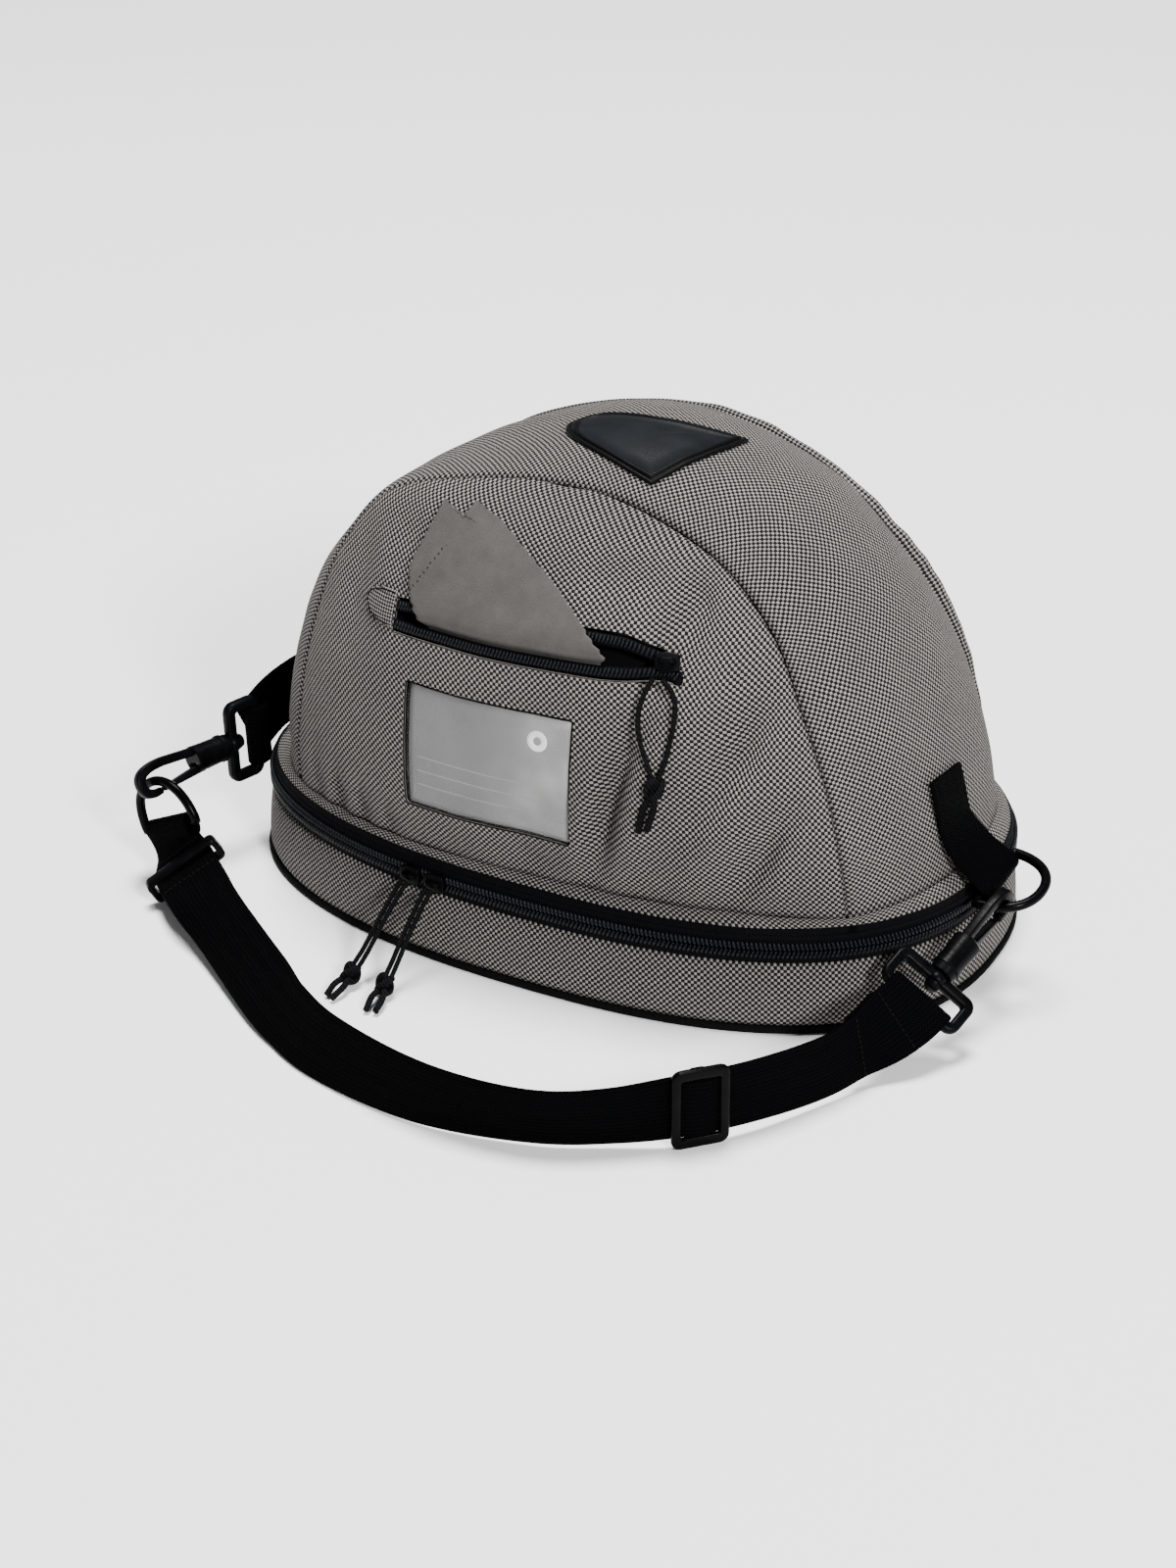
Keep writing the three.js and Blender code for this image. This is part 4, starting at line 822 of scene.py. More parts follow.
def vinyl():
    material, tree, shader = new_material("clear_vinyl", 0.5, IOR=1.5)
    shader.inputs["Base Color"].default_value = (0.16, 0.16, 0.16, 1)
    tree.links.new(between(tree, grain(tree, 22, 2), 0.3, 0.7, 0.03, 0.08), shader.inputs["Alpha"])
    return material


paper = card_paper()
card = grid_piece("ruled_card", *on_panel(-54.8, 23.5, 75.5, 130.5, 30, 20, lambda x, z: -1.5))
settle(thicken(card, 0.5), paper, ["card"])
pane = grid_piece("vinyl_pane", *on_panel(-55.6, 24.2, 74.8, 131.2, 44, 32, lambda x, z: -0.5))
settle(thicken(pane, 0.6), vinyl(), ["window_pane"])


def bound_edge(name, loop):
    """A black bonded edge inside an opening of the panel, over a loop of x and z."""
    parts = 12
    line = [(a[0] + (b[0] - a[0]) * k / parts, a[1] + (b[1] - a[1]) * k / parts)
            for a, b in zip(loop, loop[1:] + loop[:1]) for k in range(parts)]
    edge = tube_curve(name, [panel_at(x, z, -0.5) for x, z in line], 0.4, closed=True, steps=1)
    settle(to_mesh(edge), fabric)


bound_edge("window_bound_edge", rounded(*WINDOW, 2))

RING_SPOT = (8.6, 119.5)
RING_STEPS = 40
ring_turns = [2 * math.pi * k / RING_STEPS for k in range(RING_STEPS)]
ring_rows = []
for radius, lift in ((1.8, -1.5), (1.9, -1.2), (4.5, -1.2), (4.6, -1.5)):
    ring_rows.append([panel_at(RING_SPOT[0] + radius * math.cos(a), RING_SPOT[1] + radius * math.sin(a), lift)
                      for a in ring_turns])
white = speckled("white_paper", 0.7, 1.5, 2, (0.72, 0.72, 0.71), (0.85, 0.85, 0.84))[0]
paper_ring = grid_piece("paper_ring", ring_rows, [[(0, 0)] * (RING_STEPS + 1)] * len(ring_rows), ring=True)
settle(paper_ring, white)

# Pocket. A black cloth back behind a mouth that a coil zip closes; the cloth end tab at the left
# hides the zip's end.
POCKET_PITCH, LIP = 1.7, 4.6  # spacing of the coil's turns, and width of each coil
LOW_GAP, HIGH_GAP = 1.3, 0.8  # from the mouth's edges to the coils
POCKET_BACK = (-72, 72, 75, 175)  # left, right, low, high
POCKET_BEHIND, POCKET_BAG = 2.7, 9  # distance behind the panel at the edges, and how much more in the middle


def pocket_lift(x, z):
    """How far the pocket's back lies behind the panel: it bags out in its middle."""
    left, right, low, high = POCKET_BACK
    across = (2 * (x - left) / (right - left)) - 1
    up = (2 * (z - low) / (high - low)) - 1
    return -POCKET_BEHIND - POCKET_BAG * max(0, (1 - abs(across) ** 4)) * max(0, (1 - abs(up) ** 4))


bound_edge("mouth_bound_edge", mouth_loop[:2] + mouth_loop[2::4])
pocket = grid_piece("pocket_lining", *on_panel(*POCKET_BACK, 40, 30, pocket_lift))
settle(thicken(pocket, 0.9), fabric, ["pocket_back"])


def pocket_strip(name, node, low_at, high_at):
    """A coil along the mouth: a rounded strip of tape with a row of coil turns on it."""
    xs = [POCKET[0] + 0.7 + (POCKET[1] - POCKET[0] - 1.4) * j / 80 for j in range(81)]
    profile = ((0, -1.6), (0.06, -0.4), (0.3, 0.15), (0.7, 0.15), (0.94, -0.4), (1, -1.6))
    rows = [[panel_at(x, low_at(x) + (high_at(x) - low_at(x)) * share, lift) for x in xs]
            for share, lift in profile]
    uvs = [[(x, 5 * share) for x in xs] for share, _ in profile]
    settle(thicken(grid_piece(name + "_tape", rows, uvs), 0.7), tape_stuff, [node])
    walked = lengths([panel_at(x, low_at(x)) for x in xs])
    stops = []
    turns = walked[-1] / POCKET_PITCH
    for k in range(int(turns) - 1):
        x = xs[0] + (xs[-1] - xs[0]) * (k + 0.8) / turns
        z = (low_at(x) + high_at(x)) / 2
        place = panel_at(x, z, 0.25)
        along = (panel_at(x + 1, z) - panel_at(x - 1, z)).normalized()
        across = (panel_at(x, z + 1) - panel_at(x, z - 1)).normalized()
        stops.append((place, along, across, along.cross(across)))
    settle(coil_ribs(name + "_coil", stops, 1.5, 3.6, 0.7), coil_stuff)


pocket_strip("mouth_lower", "pocket_zip_lower",
             lambda x: POCKET[2] + LOW_GAP, lambda x: POCKET[2] + LOW_GAP + LIP)
pocket_strip("mouth_upper", "pocket_zip_upper",
             lambda x: mouth_edge(x) - HIGH_GAP - LIP, lambda x: mouth_edge(x) - HIGH_GAP)

TAB_LEFT, TAB_RIGHT, TAB_MIDDLE, TAB_HALF = -85.0, -67.5, 157.75, 7.25
TAB_ROWS, TAB_COLUMNS = 28, 10
TAB_LIFT, TAB_TURN = 1.4, 0.9  # lift off the panel, and how far the long edges turn down


def tab_edge(u):
    """Half the height of the end tab, from its rounded end at u 0."""
    return TAB_HALF * math.sqrt(max(0.004, 1 - (1 - u) ** 2.6))


tab_rows, tab_uvs = [], []
for i in range(TAB_ROWS + 1):
    u = (i / TAB_ROWS) ** 1.6
    x, half = TAB_LEFT + (TAB_RIGHT - TAB_LEFT) * u, tab_edge(u)
    spread = [k / TAB_COLUMNS for k in range(-TAB_COLUMNS, TAB_COLUMNS + 1)]
    edge = 0.5 * math.exp(-(u / 0.05) ** 2)
    tab_rows.append([panel_at(x, TAB_MIDDLE + half * v, TAB_LIFT - TAB_TURN * abs(v) ** 6 - edge)
                     for v in spread])
    tab_uvs.append([(x + half * v, x - half * v) for v in spread])
end_tab = grid_piece("end_tab", tab_rows, tab_uvs)
settle(thicken(end_tab, 0.6), cloth, ["pocket_end_tab"])


def stitches(name, spots, length=2.1, radius=0.32):
    """A row of sewn stitches; each spot is a place, a direction along the row and one out."""
    tubes = []
    for place, along, out in spots:
        side = along.cross(out)
        rings = []
        for reach, sink, size in ((-0.5, -0.3, 0.5), (-0.3, 0.1, 1), (0.3, 0.1, 1), (0.5, -0.3, 0.5)):
            centre = place + along * (reach * length) + out * sink
            rings.append([centre + (side * math.cos(a) + out * math.sin(a)) * (radius * size)
                          for a in [math.pi * k / 3 for k in range(6)]])
        tubes.append(rings)
    return small_tubes(name, tubes)


def panel_stitches(name, line, spacing, lift):
    """Stitches over a line of x and z on the front panel."""
    walked = lengths([panel_at(x, z) for x, z in line])
    spots = []
    for n in range(int(walked[-1] / spacing)):
        want = (n + 0.5) * spacing
        k = max(i for i in range(len(line) - 1) if walked[i] <= want)
        share = (want - walked[k]) / (walked[k + 1] - walked[k])
        (x0, z0), (x1, z1) = line[k], line[k + 1]
        x, z = x0 + (x1 - x0) * share, z0 + (z1 - z0) * share
        step = Vector((x1 - x0, 0, z1 - z0)).normalized()
        along = (panel_at(x + step.x, z + step.z) - panel_at(x - step.x, z - step.z)).normalized()
        out = (panel_at(x, z, 1) - panel_at(x, z)).normalized()
        spots.append((panel_at(x, z, lift), along, out))
    return stitches(name, spots)


black_thread = speckled("black_thread", 0.7, 0.5, 2, (0.001, 0.001, 0.001), (0.004, 0.004, 0.004),
                        Specular_IOR_Level=0.05)[0]
SEWN_IN = 0.9  # the stitches' distance from the tab's edge
tab_line = []
for k in range(-20, 21):
    u = 0.02 + 0.95 * (k / 20) ** 2
    x = TAB_LEFT + SEWN_IN + (TAB_RIGHT - TAB_LEFT - SEWN_IN) * u
    tab_line.append((x, TAB_MIDDLE - math.copysign(tab_edge(u) - SEWN_IN, k)))
settle(panel_stitches("end_tab_stitches", tab_line, 2.4, 1.3), black_thread)

# Sliders. Moulded black plastic bodies that run on the coils of the main zip and of the pocket's zip,
# with a bridge over the top that a pull cord runs through.
def plastic_stuff(name, dark, light, low, high):
    """Plastic between two colours, its roughness between low and high."""
    material, tree, shader = new_material(name, 0.4, Specular_IOR_Level=0.035)
    fine = grain(tree, 1.4, 4)
    broad = grain(tree, 11, 2)
    tree.links.new(blend(tree, between(tree, broad, 0.3, 0.7), dark, light), shader.inputs["Base Color"])
    tree.links.new(between(tree, fine, 0.25, 0.75, low, high), shader.inputs["Roughness"])
    bump(tree, shader, fine, 0.04)
    return material


def axes(origin, x_axis, y_hint):
    """A placing matrix in millimetres: X along an axis, Y near a hint."""
    x = x_axis.normalized()
    z = x.cross(y_hint).normalized()
    y = z.cross(x)
    return Matrix((*((x[n], y[n], z[n], origin[n]) for n in range(3)), (0, 0, 0, 1)))


def put(piece, matrix):
    """Moves a mesh from its own frame to its place on the bag."""
    piece.data.transform(Matrix.Scale(MM, 4) @ matrix @ Matrix.Scale(1 / MM, 4))
    piece.data.update()
    return piece


def bevelled(piece, width):
    """Rounds the edges of a moulded piece."""
    apply(piece, "BEVEL", width=width * MM, segments=3, limit_method="ANGLE", angle_limit=math.radians(35),
          harden_normals=False)
    return smooth_to(piece, 50)


def slab(name, loop, half, width=0.5):
    """A flat piece over a loop of points, with rounded edges."""
    count = len(loop)
    points = [Vector((x, y, z)) for z in (-half, half) for x, y in loop]
    faces = [tuple(reversed(range(count))), tuple(range(count, 2 * count)), *cells(2, count)]
    return bevelled(clean(mesh_piece(name, points, faces)), width)


def join(first, *others):
    """Joins pieces into the first one."""
    bpy.ops.object.select_all(action="DESELECT")
    for piece in (first, *others):
        piece.select_set(True)
    bpy.context.view_layer.objects.active = first
    bpy.ops.object.join()
    return first


moulded = plastic_stuff("moulded_plastic", (0.0008, 0.0008, 0.001), (0.0018, 0.0019, 0.0023), 0.26, 0.44)
SLIDER_LONG, SLIDER_TALL, SLIDER_HALF = 10.5, 9.0, 1.2
# Half of the body's loop in shares of its length and height, and the bridge's outer and inner arch
SLIDER_EDGE = ((-0.5, -0.3), (-0.1, -0.5), (0.42, -0.44), (0.5, -0.3))
BRIDGE_OUTER = [(-3.8, 2.2), (-3.2, 4.2), (-2.2, 5.1), (2.2, 5.1), (3.2, 4.2), (3.8, 2.2)]
BRIDGE_INNER = [(-1.6, 2.2), (-1.5, 3.3), (-1.0, 4.2), (1.0, 4.2), (1.5, 3.3), (1.6, 2.2)]


def slider(name):
    """A slider at the origin, its bridge upward."""
    half = [(SLIDER_LONG * x, SLIDER_TALL * y) for x, y in SLIDER_EDGE]
    body = slab(name, half + [(x, -y) for x, y in reversed(half)], SLIDER_HALF, 0.55)
    put(body, Matrix.Translation((0, 0, SLIDER_HALF)))
    bridge = slab(name + "_bridge", BRIDGE_OUTER + BRIDGE_INNER[::-1], 1.1, 0.35)
    put(bridge, Matrix.Rotation(math.pi / 2, 4, "X"))
    return join(body, bridge)


def front_angle(x):
    """The angle at which the oval's front half reaches x."""
    low, high = math.pi, 2 * math.pi
    for _ in range(30):
        middle = (low + high) / 2
        low, high = (middle, high) if outline(middle, 0, 0).x < x else (low, middle)
    return low


for name, x in (("slider_left", -55), ("slider_right", -42)):
    a = front_angle(x)
    along = outline(a + 0.02, 0, 0) - outline(a - 0.02, 0, 0)
    piece = put(slider(name), axes(outline(a, -0.7, ZIP_MIDDLE), along, UP))
    settle(piece, moulded, ["zip_" + name])
SEAT_X, SEAT_Z = 57.5, 155.4  # place of the pocket's slider
seat_along = panel_at(SEAT_X + 2, SEAT_Z) - panel_at(SEAT_X - 2, SEAT_Z)
seat_up = panel_at(SEAT_X, SEAT_Z + 2) - panel_at(SEAT_X, SEAT_Z - 2)
pocket_slider = put(slider("slider_pocket"), axes(panel_at(SEAT_X, SEAT_Z, 1.3), seat_along, seat_up))
settle(pocket_slider, moulded, ["pocket_slider"])

# Pull cords. Each is a thin black braided cord, doubled through its slider's bridge: its two strands run
# into an overhand knot, and the knot's two tails hang free.
def catmull(points, t):
    """Centripetal curve through points at t from 0 to 1."""
    spans = len(points) - 1
    place = spans * t
    k = min(int(place), spans - 1)
    w = place - k
    p1, p2 = points[k], points[k + 1]
    p0 = points[k - 1] if k > 0 else 2 * p1 - p2
    p3 = points[k + 2] if k + 2 <= spans else 2 * p2 - p1
    d0, d1, d2 = (max((b - a).length, 1e-4) ** 0.5 for a, b in ((p0, p1), (p1, p2), (p2, p3)))
    m1 = ((p1 - p0) / d0 - (p2 - p0) / (d0 + d1) + (p2 - p1) / d1) * d1
    m2 = ((p2 - p1) / d1 - (p3 - p1) / (d1 + d2) + (p3 - p2) / d2) * d1
    return p1 + m1 * w + (3 * (p2 - p1) - 2 * m1 - m2) * w ** 2 + (2 * (p1 - p2) + m1 + m2) * w ** 3


def braid():
    material, tree, shader = new_material("braided_cord", 0.75, Specular_IOR_Level=0.05)
    place = tree.nodes.new("ShaderNodeTexCoord")
    lines = tree.nodes.new("ShaderNodeTexWave")
    lines.bands_direction = "DIAGONAL"
    lines.inputs["Scale"].default_value = 260
    lines.inputs["Distortion"].default_value = 3
    tree.links.new(place.outputs["Object"], lines.inputs["Vector"])
    # Painted shade of the braid: the cord is lighter along its raised strands and darker in the grooves,
    # following the same bands as its relief.
    tree.links.new(blend(tree, lines.outputs["Fac"], (0.0008, 0.0008, 0.001), (0.004, 0.004, 0.0048)),
                   shader.inputs["Base Color"])
    bump(tree, shader, lines.outputs["Fac"], 0.25)
    return material


CORD = 1.1
KNOT_CORD = CORD * 1.3
KNOT_LONG, KNOT_WIDE, KNOT_WAVE, KNOT_SHIFT = 3.4, 2.2, 1.2, 0.6
IN_KNOT = 0.6  # share of the way to the knot's middle that a strand's end goes on
CORD_POINTS = 31
# Each pull's name, the routes of its strands from the slider to the knot, the knot's place and the
# ends of its tails
PULLS = [
    ("pocket_pull", [
        [
            (56.4, -100, 153.4), (53.8, -102.2, 147.4), (52.4, -105, 139), (53.6, -107.3, 132),
            (56.2, -109, 125), (59.5, -110.8, 119.5), (62, -112, 114),
        ],
        [
            (60.2, -98.9, 153.4), (64.6, -99.4, 149.4), (67.2, -101, 143.5), (67.8, -104, 136),
            (67.2, -106.8, 128), (66.4, -108.9, 121.5), (64.7, -111.5, 114.1),
        ],
    ], (63.7, -112.9, 110.2), ((57.6, -115, 90), (61.6, -115.6, 92))),
    ("zip_pull_left", [
        [
            (-57, -113.9, 38.8), (-58.6, -119.4, 33.6), (-59.6, -123, 30), (-60.6, -126.6, 26.4),
            (-62.4, -132.8, 19.3), (-63.9, -137.7, 13.7), (-65.4, -143, 9.1),
        ],
        [
            (-54, -114.2, 38.8), (-55.8, -119.6, 33.6), (-56.9, -123.2, 29.9), (-58, -126.7, 26.3),
            (-59.8, -132.9, 19.2), (-61.3, -137.9, 13.4), (-62.9, -143.3, 8.6),
        ],
    ], (-65.1, -146.5, 6), ((-69, -160, 2.2), (-65.4, -162, 2.2))),
    ("zip_pull_right", [
        [
            (-43.7, -116.1, 38.6), (-45, -121, 33.6), (-45.6, -124.3, 30.1), (-46.2, -127.6, 26.6),
            (-47.3, -134, 19.2), (-48, -138.9, 13.7), (-48.4, -144.4, 8.9),
        ],
        [
            (-40.7, -116.4, 38.6), (-42.2, -121.1, 33.6), (-42.9, -124.4, 30), (-43.6, -127.6, 26.6),
            (-44.7, -134.1, 19.1), (-45.4, -139.1, 13.4), (-45.8, -144.6, 8.6),
        ],
    ], (-47.4, -147.9, 5.8), ((-47.4, -163.6, 2.2), (-43.2, -163, 2.2))),
]
braided = braid()
for name, strands, knot_place, tails in PULLS:
    knot_at = Vector(knot_place)
    turns = [2 * math.pi * k / 90 for k in range(90)]
    lines = [[Vector(p) for p in route] for route in strands]
    down = knot_at - (lines[0][-1] + lines[1][-1]) / 2
    lie = axes(knot_at, down.normalized(), Vector((0.3, 0.2, 1)))
    twist = []
    for t in turns:
        wide = KNOT_WIDE + KNOT_WAVE * math.cos(3 * t)
        along = KNOT_LONG * math.sin(3 * t) - KNOT_SHIFT
        twist.append(lie @ Vector((along, wide * math.cos(2 * t), wide * math.sin(2 * t))))
    knot = to_mesh(tube_curve(name + "_tied", twist, KNOT_CORD, closed=True))
    ends = []
    for side, tail in zip((-1, 1), tails):
        end = Vector(tail)
        middle = knot_at.lerp(end, 0.5) + Vector((1.4 * side, 0, 0.5))
        run = [catmull([knot_at, middle, end], k / 12) for k in range(13)]
        ends.append(to_mesh(tube_curve(name + "_tail", run, KNOT_CORD)))
    settle(join(knot, *ends), braided, [name + "_knot"])
    for number, line in enumerate(lines, 1):
        into_knot = line + [line[-1].lerp(knot_at, IN_KNOT)]
        places = evenly(lambda t: catmull(into_knot, t), 0.0, 1.0, CORD_POINTS)[0]
        smooth = [catmull(into_knot, t) for t in places]
        node = f"{name}_strand_{number}"
        strand = settle(tube_curve(node + "_braid", smooth, CORD), braided, [node])

# Polishing cloth. A piece of grey suede-like cloth with pinked edges and a row of holes, tucked loose into
# the open pocket so that one corner stands up out of it.
# Columns: height, left and right edge, and lift off the front panel
POLISH = [
    (145, -47, 24, -7),
    (151, -49, 28, -5.5),
    (155.6, -52, 33, -2.6),
    (158.2, -54.5, 34, 1.7),
    (163, -57.5, 28.5, 3),
    (170, -61, 20, 3.2),
    (177, -62, 11, 3.2),
    (184, -59.5, 1, 3.3),
    (191, -57, -11, 3.5),
    (196, -55, -22, 4),
    (199.5, -53.5, -36, 4.6),
]
PINK, TOOTH = 1.3, 3.0  # depth and pitch of the pinked edge
NOTCH_DEEP, NOTCH_LOW, NOTCH_HIGH = 3.4, 0.7, 0.84  # dip of the upper edge, and the shares it turns at
POLISH_ROWS, POLISH_COLUMNS = 104, 60
HOLE_PITCH = 2.3


def suede():
    material, tree, shader = new_material("polishing_suede", 0.95, Specular_IOR_Level=0.05)
    mottle = calc(tree, "ADD", calc(tree, "MULTIPLY", grain(tree, 9, 3), 0.6),
                  calc(tree, "MULTIPLY", grain(tree, 0.7, 3), 0.4))
    across, up = cloth_place(tree)[1:]
    c, s = 0.835, 0.55  # slope of the row of holes
    along = calc(tree, "ADD", calc(tree, "MULTIPLY", across, s), calc(tree, "MULTIPLY", up, c))
    aside = calc(tree, "SUBTRACT", calc(tree, "MULTIPLY", across, c), calc(tree, "MULTIPLY", up, s))
    aside = calc(tree, "ADD", aside, 141.3 * MM)
    step = calc(tree, "SUBTRACT", calc(tree, "MODULO", along, HOLE_PITCH * MM), HOLE_PITCH / 2 * MM)
    off = calc(tree, "SQRT", calc(tree, "ADD", calc(tree, "MULTIPLY", step, step),
                                  calc(tree, "MULTIPLY", aside, aside)))
    hole = calc(tree, "MULTIPLY", between(tree, off, 0.35 * MM, 0.6 * MM, 1, 0),
                between(tree, up, 186 * MM, 186.3 * MM, 1, 0))
    nap = blend(tree, between(tree, mottle, 0.3, 0.7), (0.055, 0.0515, 0.0485), (0.071, 0.067, 0.063))
    tree.links.new(blend(tree, hole, nap, (0.018, 0.017, 0.016)), shader.inputs["Base Color"])
    bump(tree, shader, grain(tree, 0.6, 3), 0.25)
    return material


def notch(u):
    """How far the upper edge dips across the cloth."""
    if u < NOTCH_LOW:
        return NOTCH_DEEP * u / NOTCH_LOW
    return NOTCH_DEEP - 5 * (u - NOTCH_LOW) / 0.14 if u < NOTCH_HIGH else -1.6


polish_rows, polish_uvs = [], []
for i in range(POLISH_ROWS + 1):
    v = i / POLISH_ROWS
    z, left, right, lift = (column(POLISH, k, v) for k in range(4))
    saw = abs((z / TOOTH) % 1 - 0.5) * 2 * PINK
    near_top = max(0, (v - 0.75) / 0.25) ** 2
    row = []
    for j in range(POLISH_COLUMNS + 1):
        u = j / POLISH_COLUMNS
        x = left + saw * (1 - near_top) + (right - left - 2 * saw * (1 - near_top)) * u
        saw_top = PINK * abs((x / TOOTH) % 1 - 0.5)
        wave = 0.5 * noise.noise(Vector((x, z, 7)) / 16)
        row.append(panel_at(x, z - (notch(u) + saw_top) * near_top, lift + wave))
    polish_rows.append(row)
    polish_uvs.append([(left + (right - left) * j / POLISH_COLUMNS, z) for j in range(POLISH_COLUMNS + 1)])
polishing = grid_piece("polishing_suede_cloth", polish_rows, polish_uvs)
settle(thicken(polishing, 0.9, 0.0), suede(), ["polishing_cloth"])

# Badge. A shield of moulded rubber with a ribbed rim round a sunk field, glued on the top band, where it
# follows the band's curve.
# Columns: far edge and near edge in x and y, from the bowed end to the rounded one
BADGE = [
    (51, 4.4, 29.4, -46.2),
    (34, 0.5, 15.9, -43.8),
    (13.3, -2, 1.8, -39),
    (-8, -2.4, -11.5, -32.4),
    (-20.5, -5, -20.6, -24.6),
    (-25.2, -12.5, -25.2, -15.5),
]
BADGE_BOW = 3.6


def rubber_stuff():
    material, tree, shader = new_material("moulded_rubber", 0.55, Specular_IOR_Level=0.08)
    fine = grain(tree, 0.8, 3)
    cloud = between(tree, grain(tree, 16, 3), 0.3, 0.7)
    field = blend(tree, cloud, (0.003, 0.0038, 0.005), (0.0056, 0.0068, 0.0086))
    rim = between(tree, cloth_place(tree)[1], 0.83 * MM, 0.85 * MM)
    tree.links.new(blend(tree, rim, field, (0.001, 0.001, 0.0013)), shader.inputs["Base Color"])
    tree.links.new(between(tree, fine, 0.2, 0.8, 0.45, 0.68), shader.inputs["Roughness"])
    bump(tree, shader, fine, 0.08)
    return material


def badge_point(u, v):
    """A place on the badge in x and y: u from its bowed end, v from its far edge."""
    far_x, far_y, near_x, near_y = (column(BADGE, k, u) for k in range(4))
    bow = BADGE_BOW * 4 * v * (1 - v) * (1 - u)
    return far_x + (near_x - far_x) * v + bow, far_y + (near_y - far_y) * v


shield = [badge_point(0, k / 24) for k in range(24)]
shield += [badge_point(k / 48, 1) for k in range(48)]
shield += [badge_point(1, 1 - k / 4) for k in range(4)]
shield += [badge_point(1 - k / 48, 0) for k in range(48)]
BADGE_MIDDLE = (16.0, -21.0)
# Share of the way from the middle to the edge, and lift, from the edge over the rim's two ribs to the field
RIM = ((1.0, 0.3), (1.0, 1.5), (0.985, 1.9), (0.965, 2.0), (0.95, 1.9), (0.94, 1.3), (0.925, 1.3),
       (0.915, 2.1), (0.9, 2.5), (0.87, 2.5), (0.855, 2.1), (0.84, 1.5), (0.6, 1.5), (0.3, 1.5), (0.0, 1.5))
badge_rows = []
for share, lift in RIM:
    badge_rows.append([band_at(BADGE_MIDDLE[0] + (x - BADGE_MIDDLE[0]) * share,
                               BADGE_MIDDLE[1] + (y - BADGE_MIDDLE[1]) * share, lift) for x, y in shield])
badge_uvs = [[(share, 0)] * (len(shield) + 1) for share, _ in RIM]
badge = grid_piece("shield_badge", badge_rows, badge_uvs, ring=True)
settle(clean(badge, 0.01), rubber_stuff(), ["badge"])

# Rings and tabs. Webbing tabs sewn to the dome's ends carry a wire ring at +X and a snap hook at -X;
# the strap's other ring hangs in that hook.
WEBBING, WEB_THICK, WIRE = 30.0, 1.8, 2.0
WRAP = WIRE + 0.9 + WEB_THICK / 2
RING_HALF, RING_DEEP = 18.4, 22.0
SEWN_LIFT, TAB_BACK = 1.5, 5  # lift of a sewn tab off the band, and what comes back past the bar


def webbing_stuff():
    material, tree, shader = new_material("woven_webbing", 0.8, Specular_IOR_Level=0.01)
    along, across = cloth_place(tree)[1:]
    rib = calc(tree, "SINE", calc(tree, "MULTIPLY", across, 2 * math.pi / (1.9 * MM)))
    lean = calc(tree, "MULTIPLY", calc(tree, "PINGPONG", across, 3.75 * MM), 0.8)
    slanted = calc(tree, "ADD", along, lean)
    pick = calc(tree, "SINE", calc(tree, "MULTIPLY", slanted, 2 * math.pi / (1.5 * MM)))
    height = calc(tree, "ADD", calc(tree, "MULTIPLY", pick, 0.6), calc(tree, "MULTIPLY", rib, 0.4))
    # Painted shade of the weave: the yarn is lighter on the raised ribs and picks and darker in the grooves
    # between them.
    yarn = blend(tree, between(tree, height, -0.8, 0.9), (0.0003, 0.0003, 0.0004), (0.0016, 0.0016, 0.002))
    tree.links.new(yarn, shader.inputs["Base Color"])
    bump(tree, shader, height, 0.2)
    return material


def ribbon(name, stops, width=WEBBING):
    """A strip of webbing with rounded edges through stops of a place and a direction across."""
    section = [(0.5, 0.0), (0.485, 0.36), (0.46, 0.5), (0.2, 0.5), (0, 0.5)]
    section += [(-0.2, 0.5), (-0.46, 0.5), (-0.485, 0.36)]
    section += [(-a, -b) for a, b in section]
    walked = lengths([p for p, _ in stops])
    rows, uvs = [], []
    for i, (p, w) in enumerate(stops):
        along = (stops[min(i + 1, len(stops) - 1)][0] - stops[max(i - 1, 0)][0]).normalized()
        across = (w - along * w.dot(along)).normalized()
        normal = along.cross(across)
        rows.append([p + across * (a * width) + normal * (b * WEB_THICK) for a, b in section])
        edge = [(walked[i], a * width) for a, _ in section]
        uvs.append([*edge, edge[0]])
    count = len(section)
    faces, corners = cells(len(rows), count), cell_corners(uvs)
    for i in (0, len(rows) - 1):
        faces.append(tuple(i * count + k for k in range(count)))
        corners.extend(uvs[i][k] for k in range(count))
    return smooth_to(clean(mesh_piece(name, [p for row in rows for p in row], faces, corners), 0.001), 50)


def squared(vector, axis):
    """A direction near a vector, square to an axis."""
    return (vector - axis * vector.dot(axis)).normalized()


def wrap(bar, far, normal, across):
    """Half a turn of webbing round a bar, from the normal's side over the far side."""
    steps = 16
    turns = [math.pi * i / steps for i in range(steps + 1)]
    return [(bar + normal * (WRAP * math.cos(a)) + far * (WRAP * math.sin(a)), across.copy()) for a in turns]


def band_normal(t, v):
    """The direction out of the top band at a place on it."""
    step = 0.01
    du = band_point(min(t + step, 1), v) - band_point(max(t - step, 0), v)
    dv = band_point(t, min(v + step, 1)) - band_point(t, max(v - step, -1))
    normal = du.cross(dv).normalized()
    return normal if normal.dot(band_point(t, v) - INSIDE) > 0 else -normal


def sewn_tab(name, sewn, bar, across, outward):
    """A tab that lies on the dome along its first stops, then goes round a bar and a little way back."""
    far = squared(bar - sewn[-1][0], across)
    normal = far.cross(across).normalized()
    if normal.dot(outward) < 0:
        normal = -normal
    turn = wrap(bar, far, normal, across)
    lead = [*sewn, turn[0]]
    run = [(catmull([p for p, _ in lead], k / 30), catmull([w for _, w in lead], k / 30)) for k in range(30)]
    end = (turn[-1][0] - far * TAB_BACK, across.copy())
    return ribbon(name, [*run, *turn, end])


def on_band(t, v, across):
    """A stop of webbing that is sewn flat on the top band."""
    return band_point(t, v) + band_normal(t, v) * SEWN_LIFT, Vector(across)


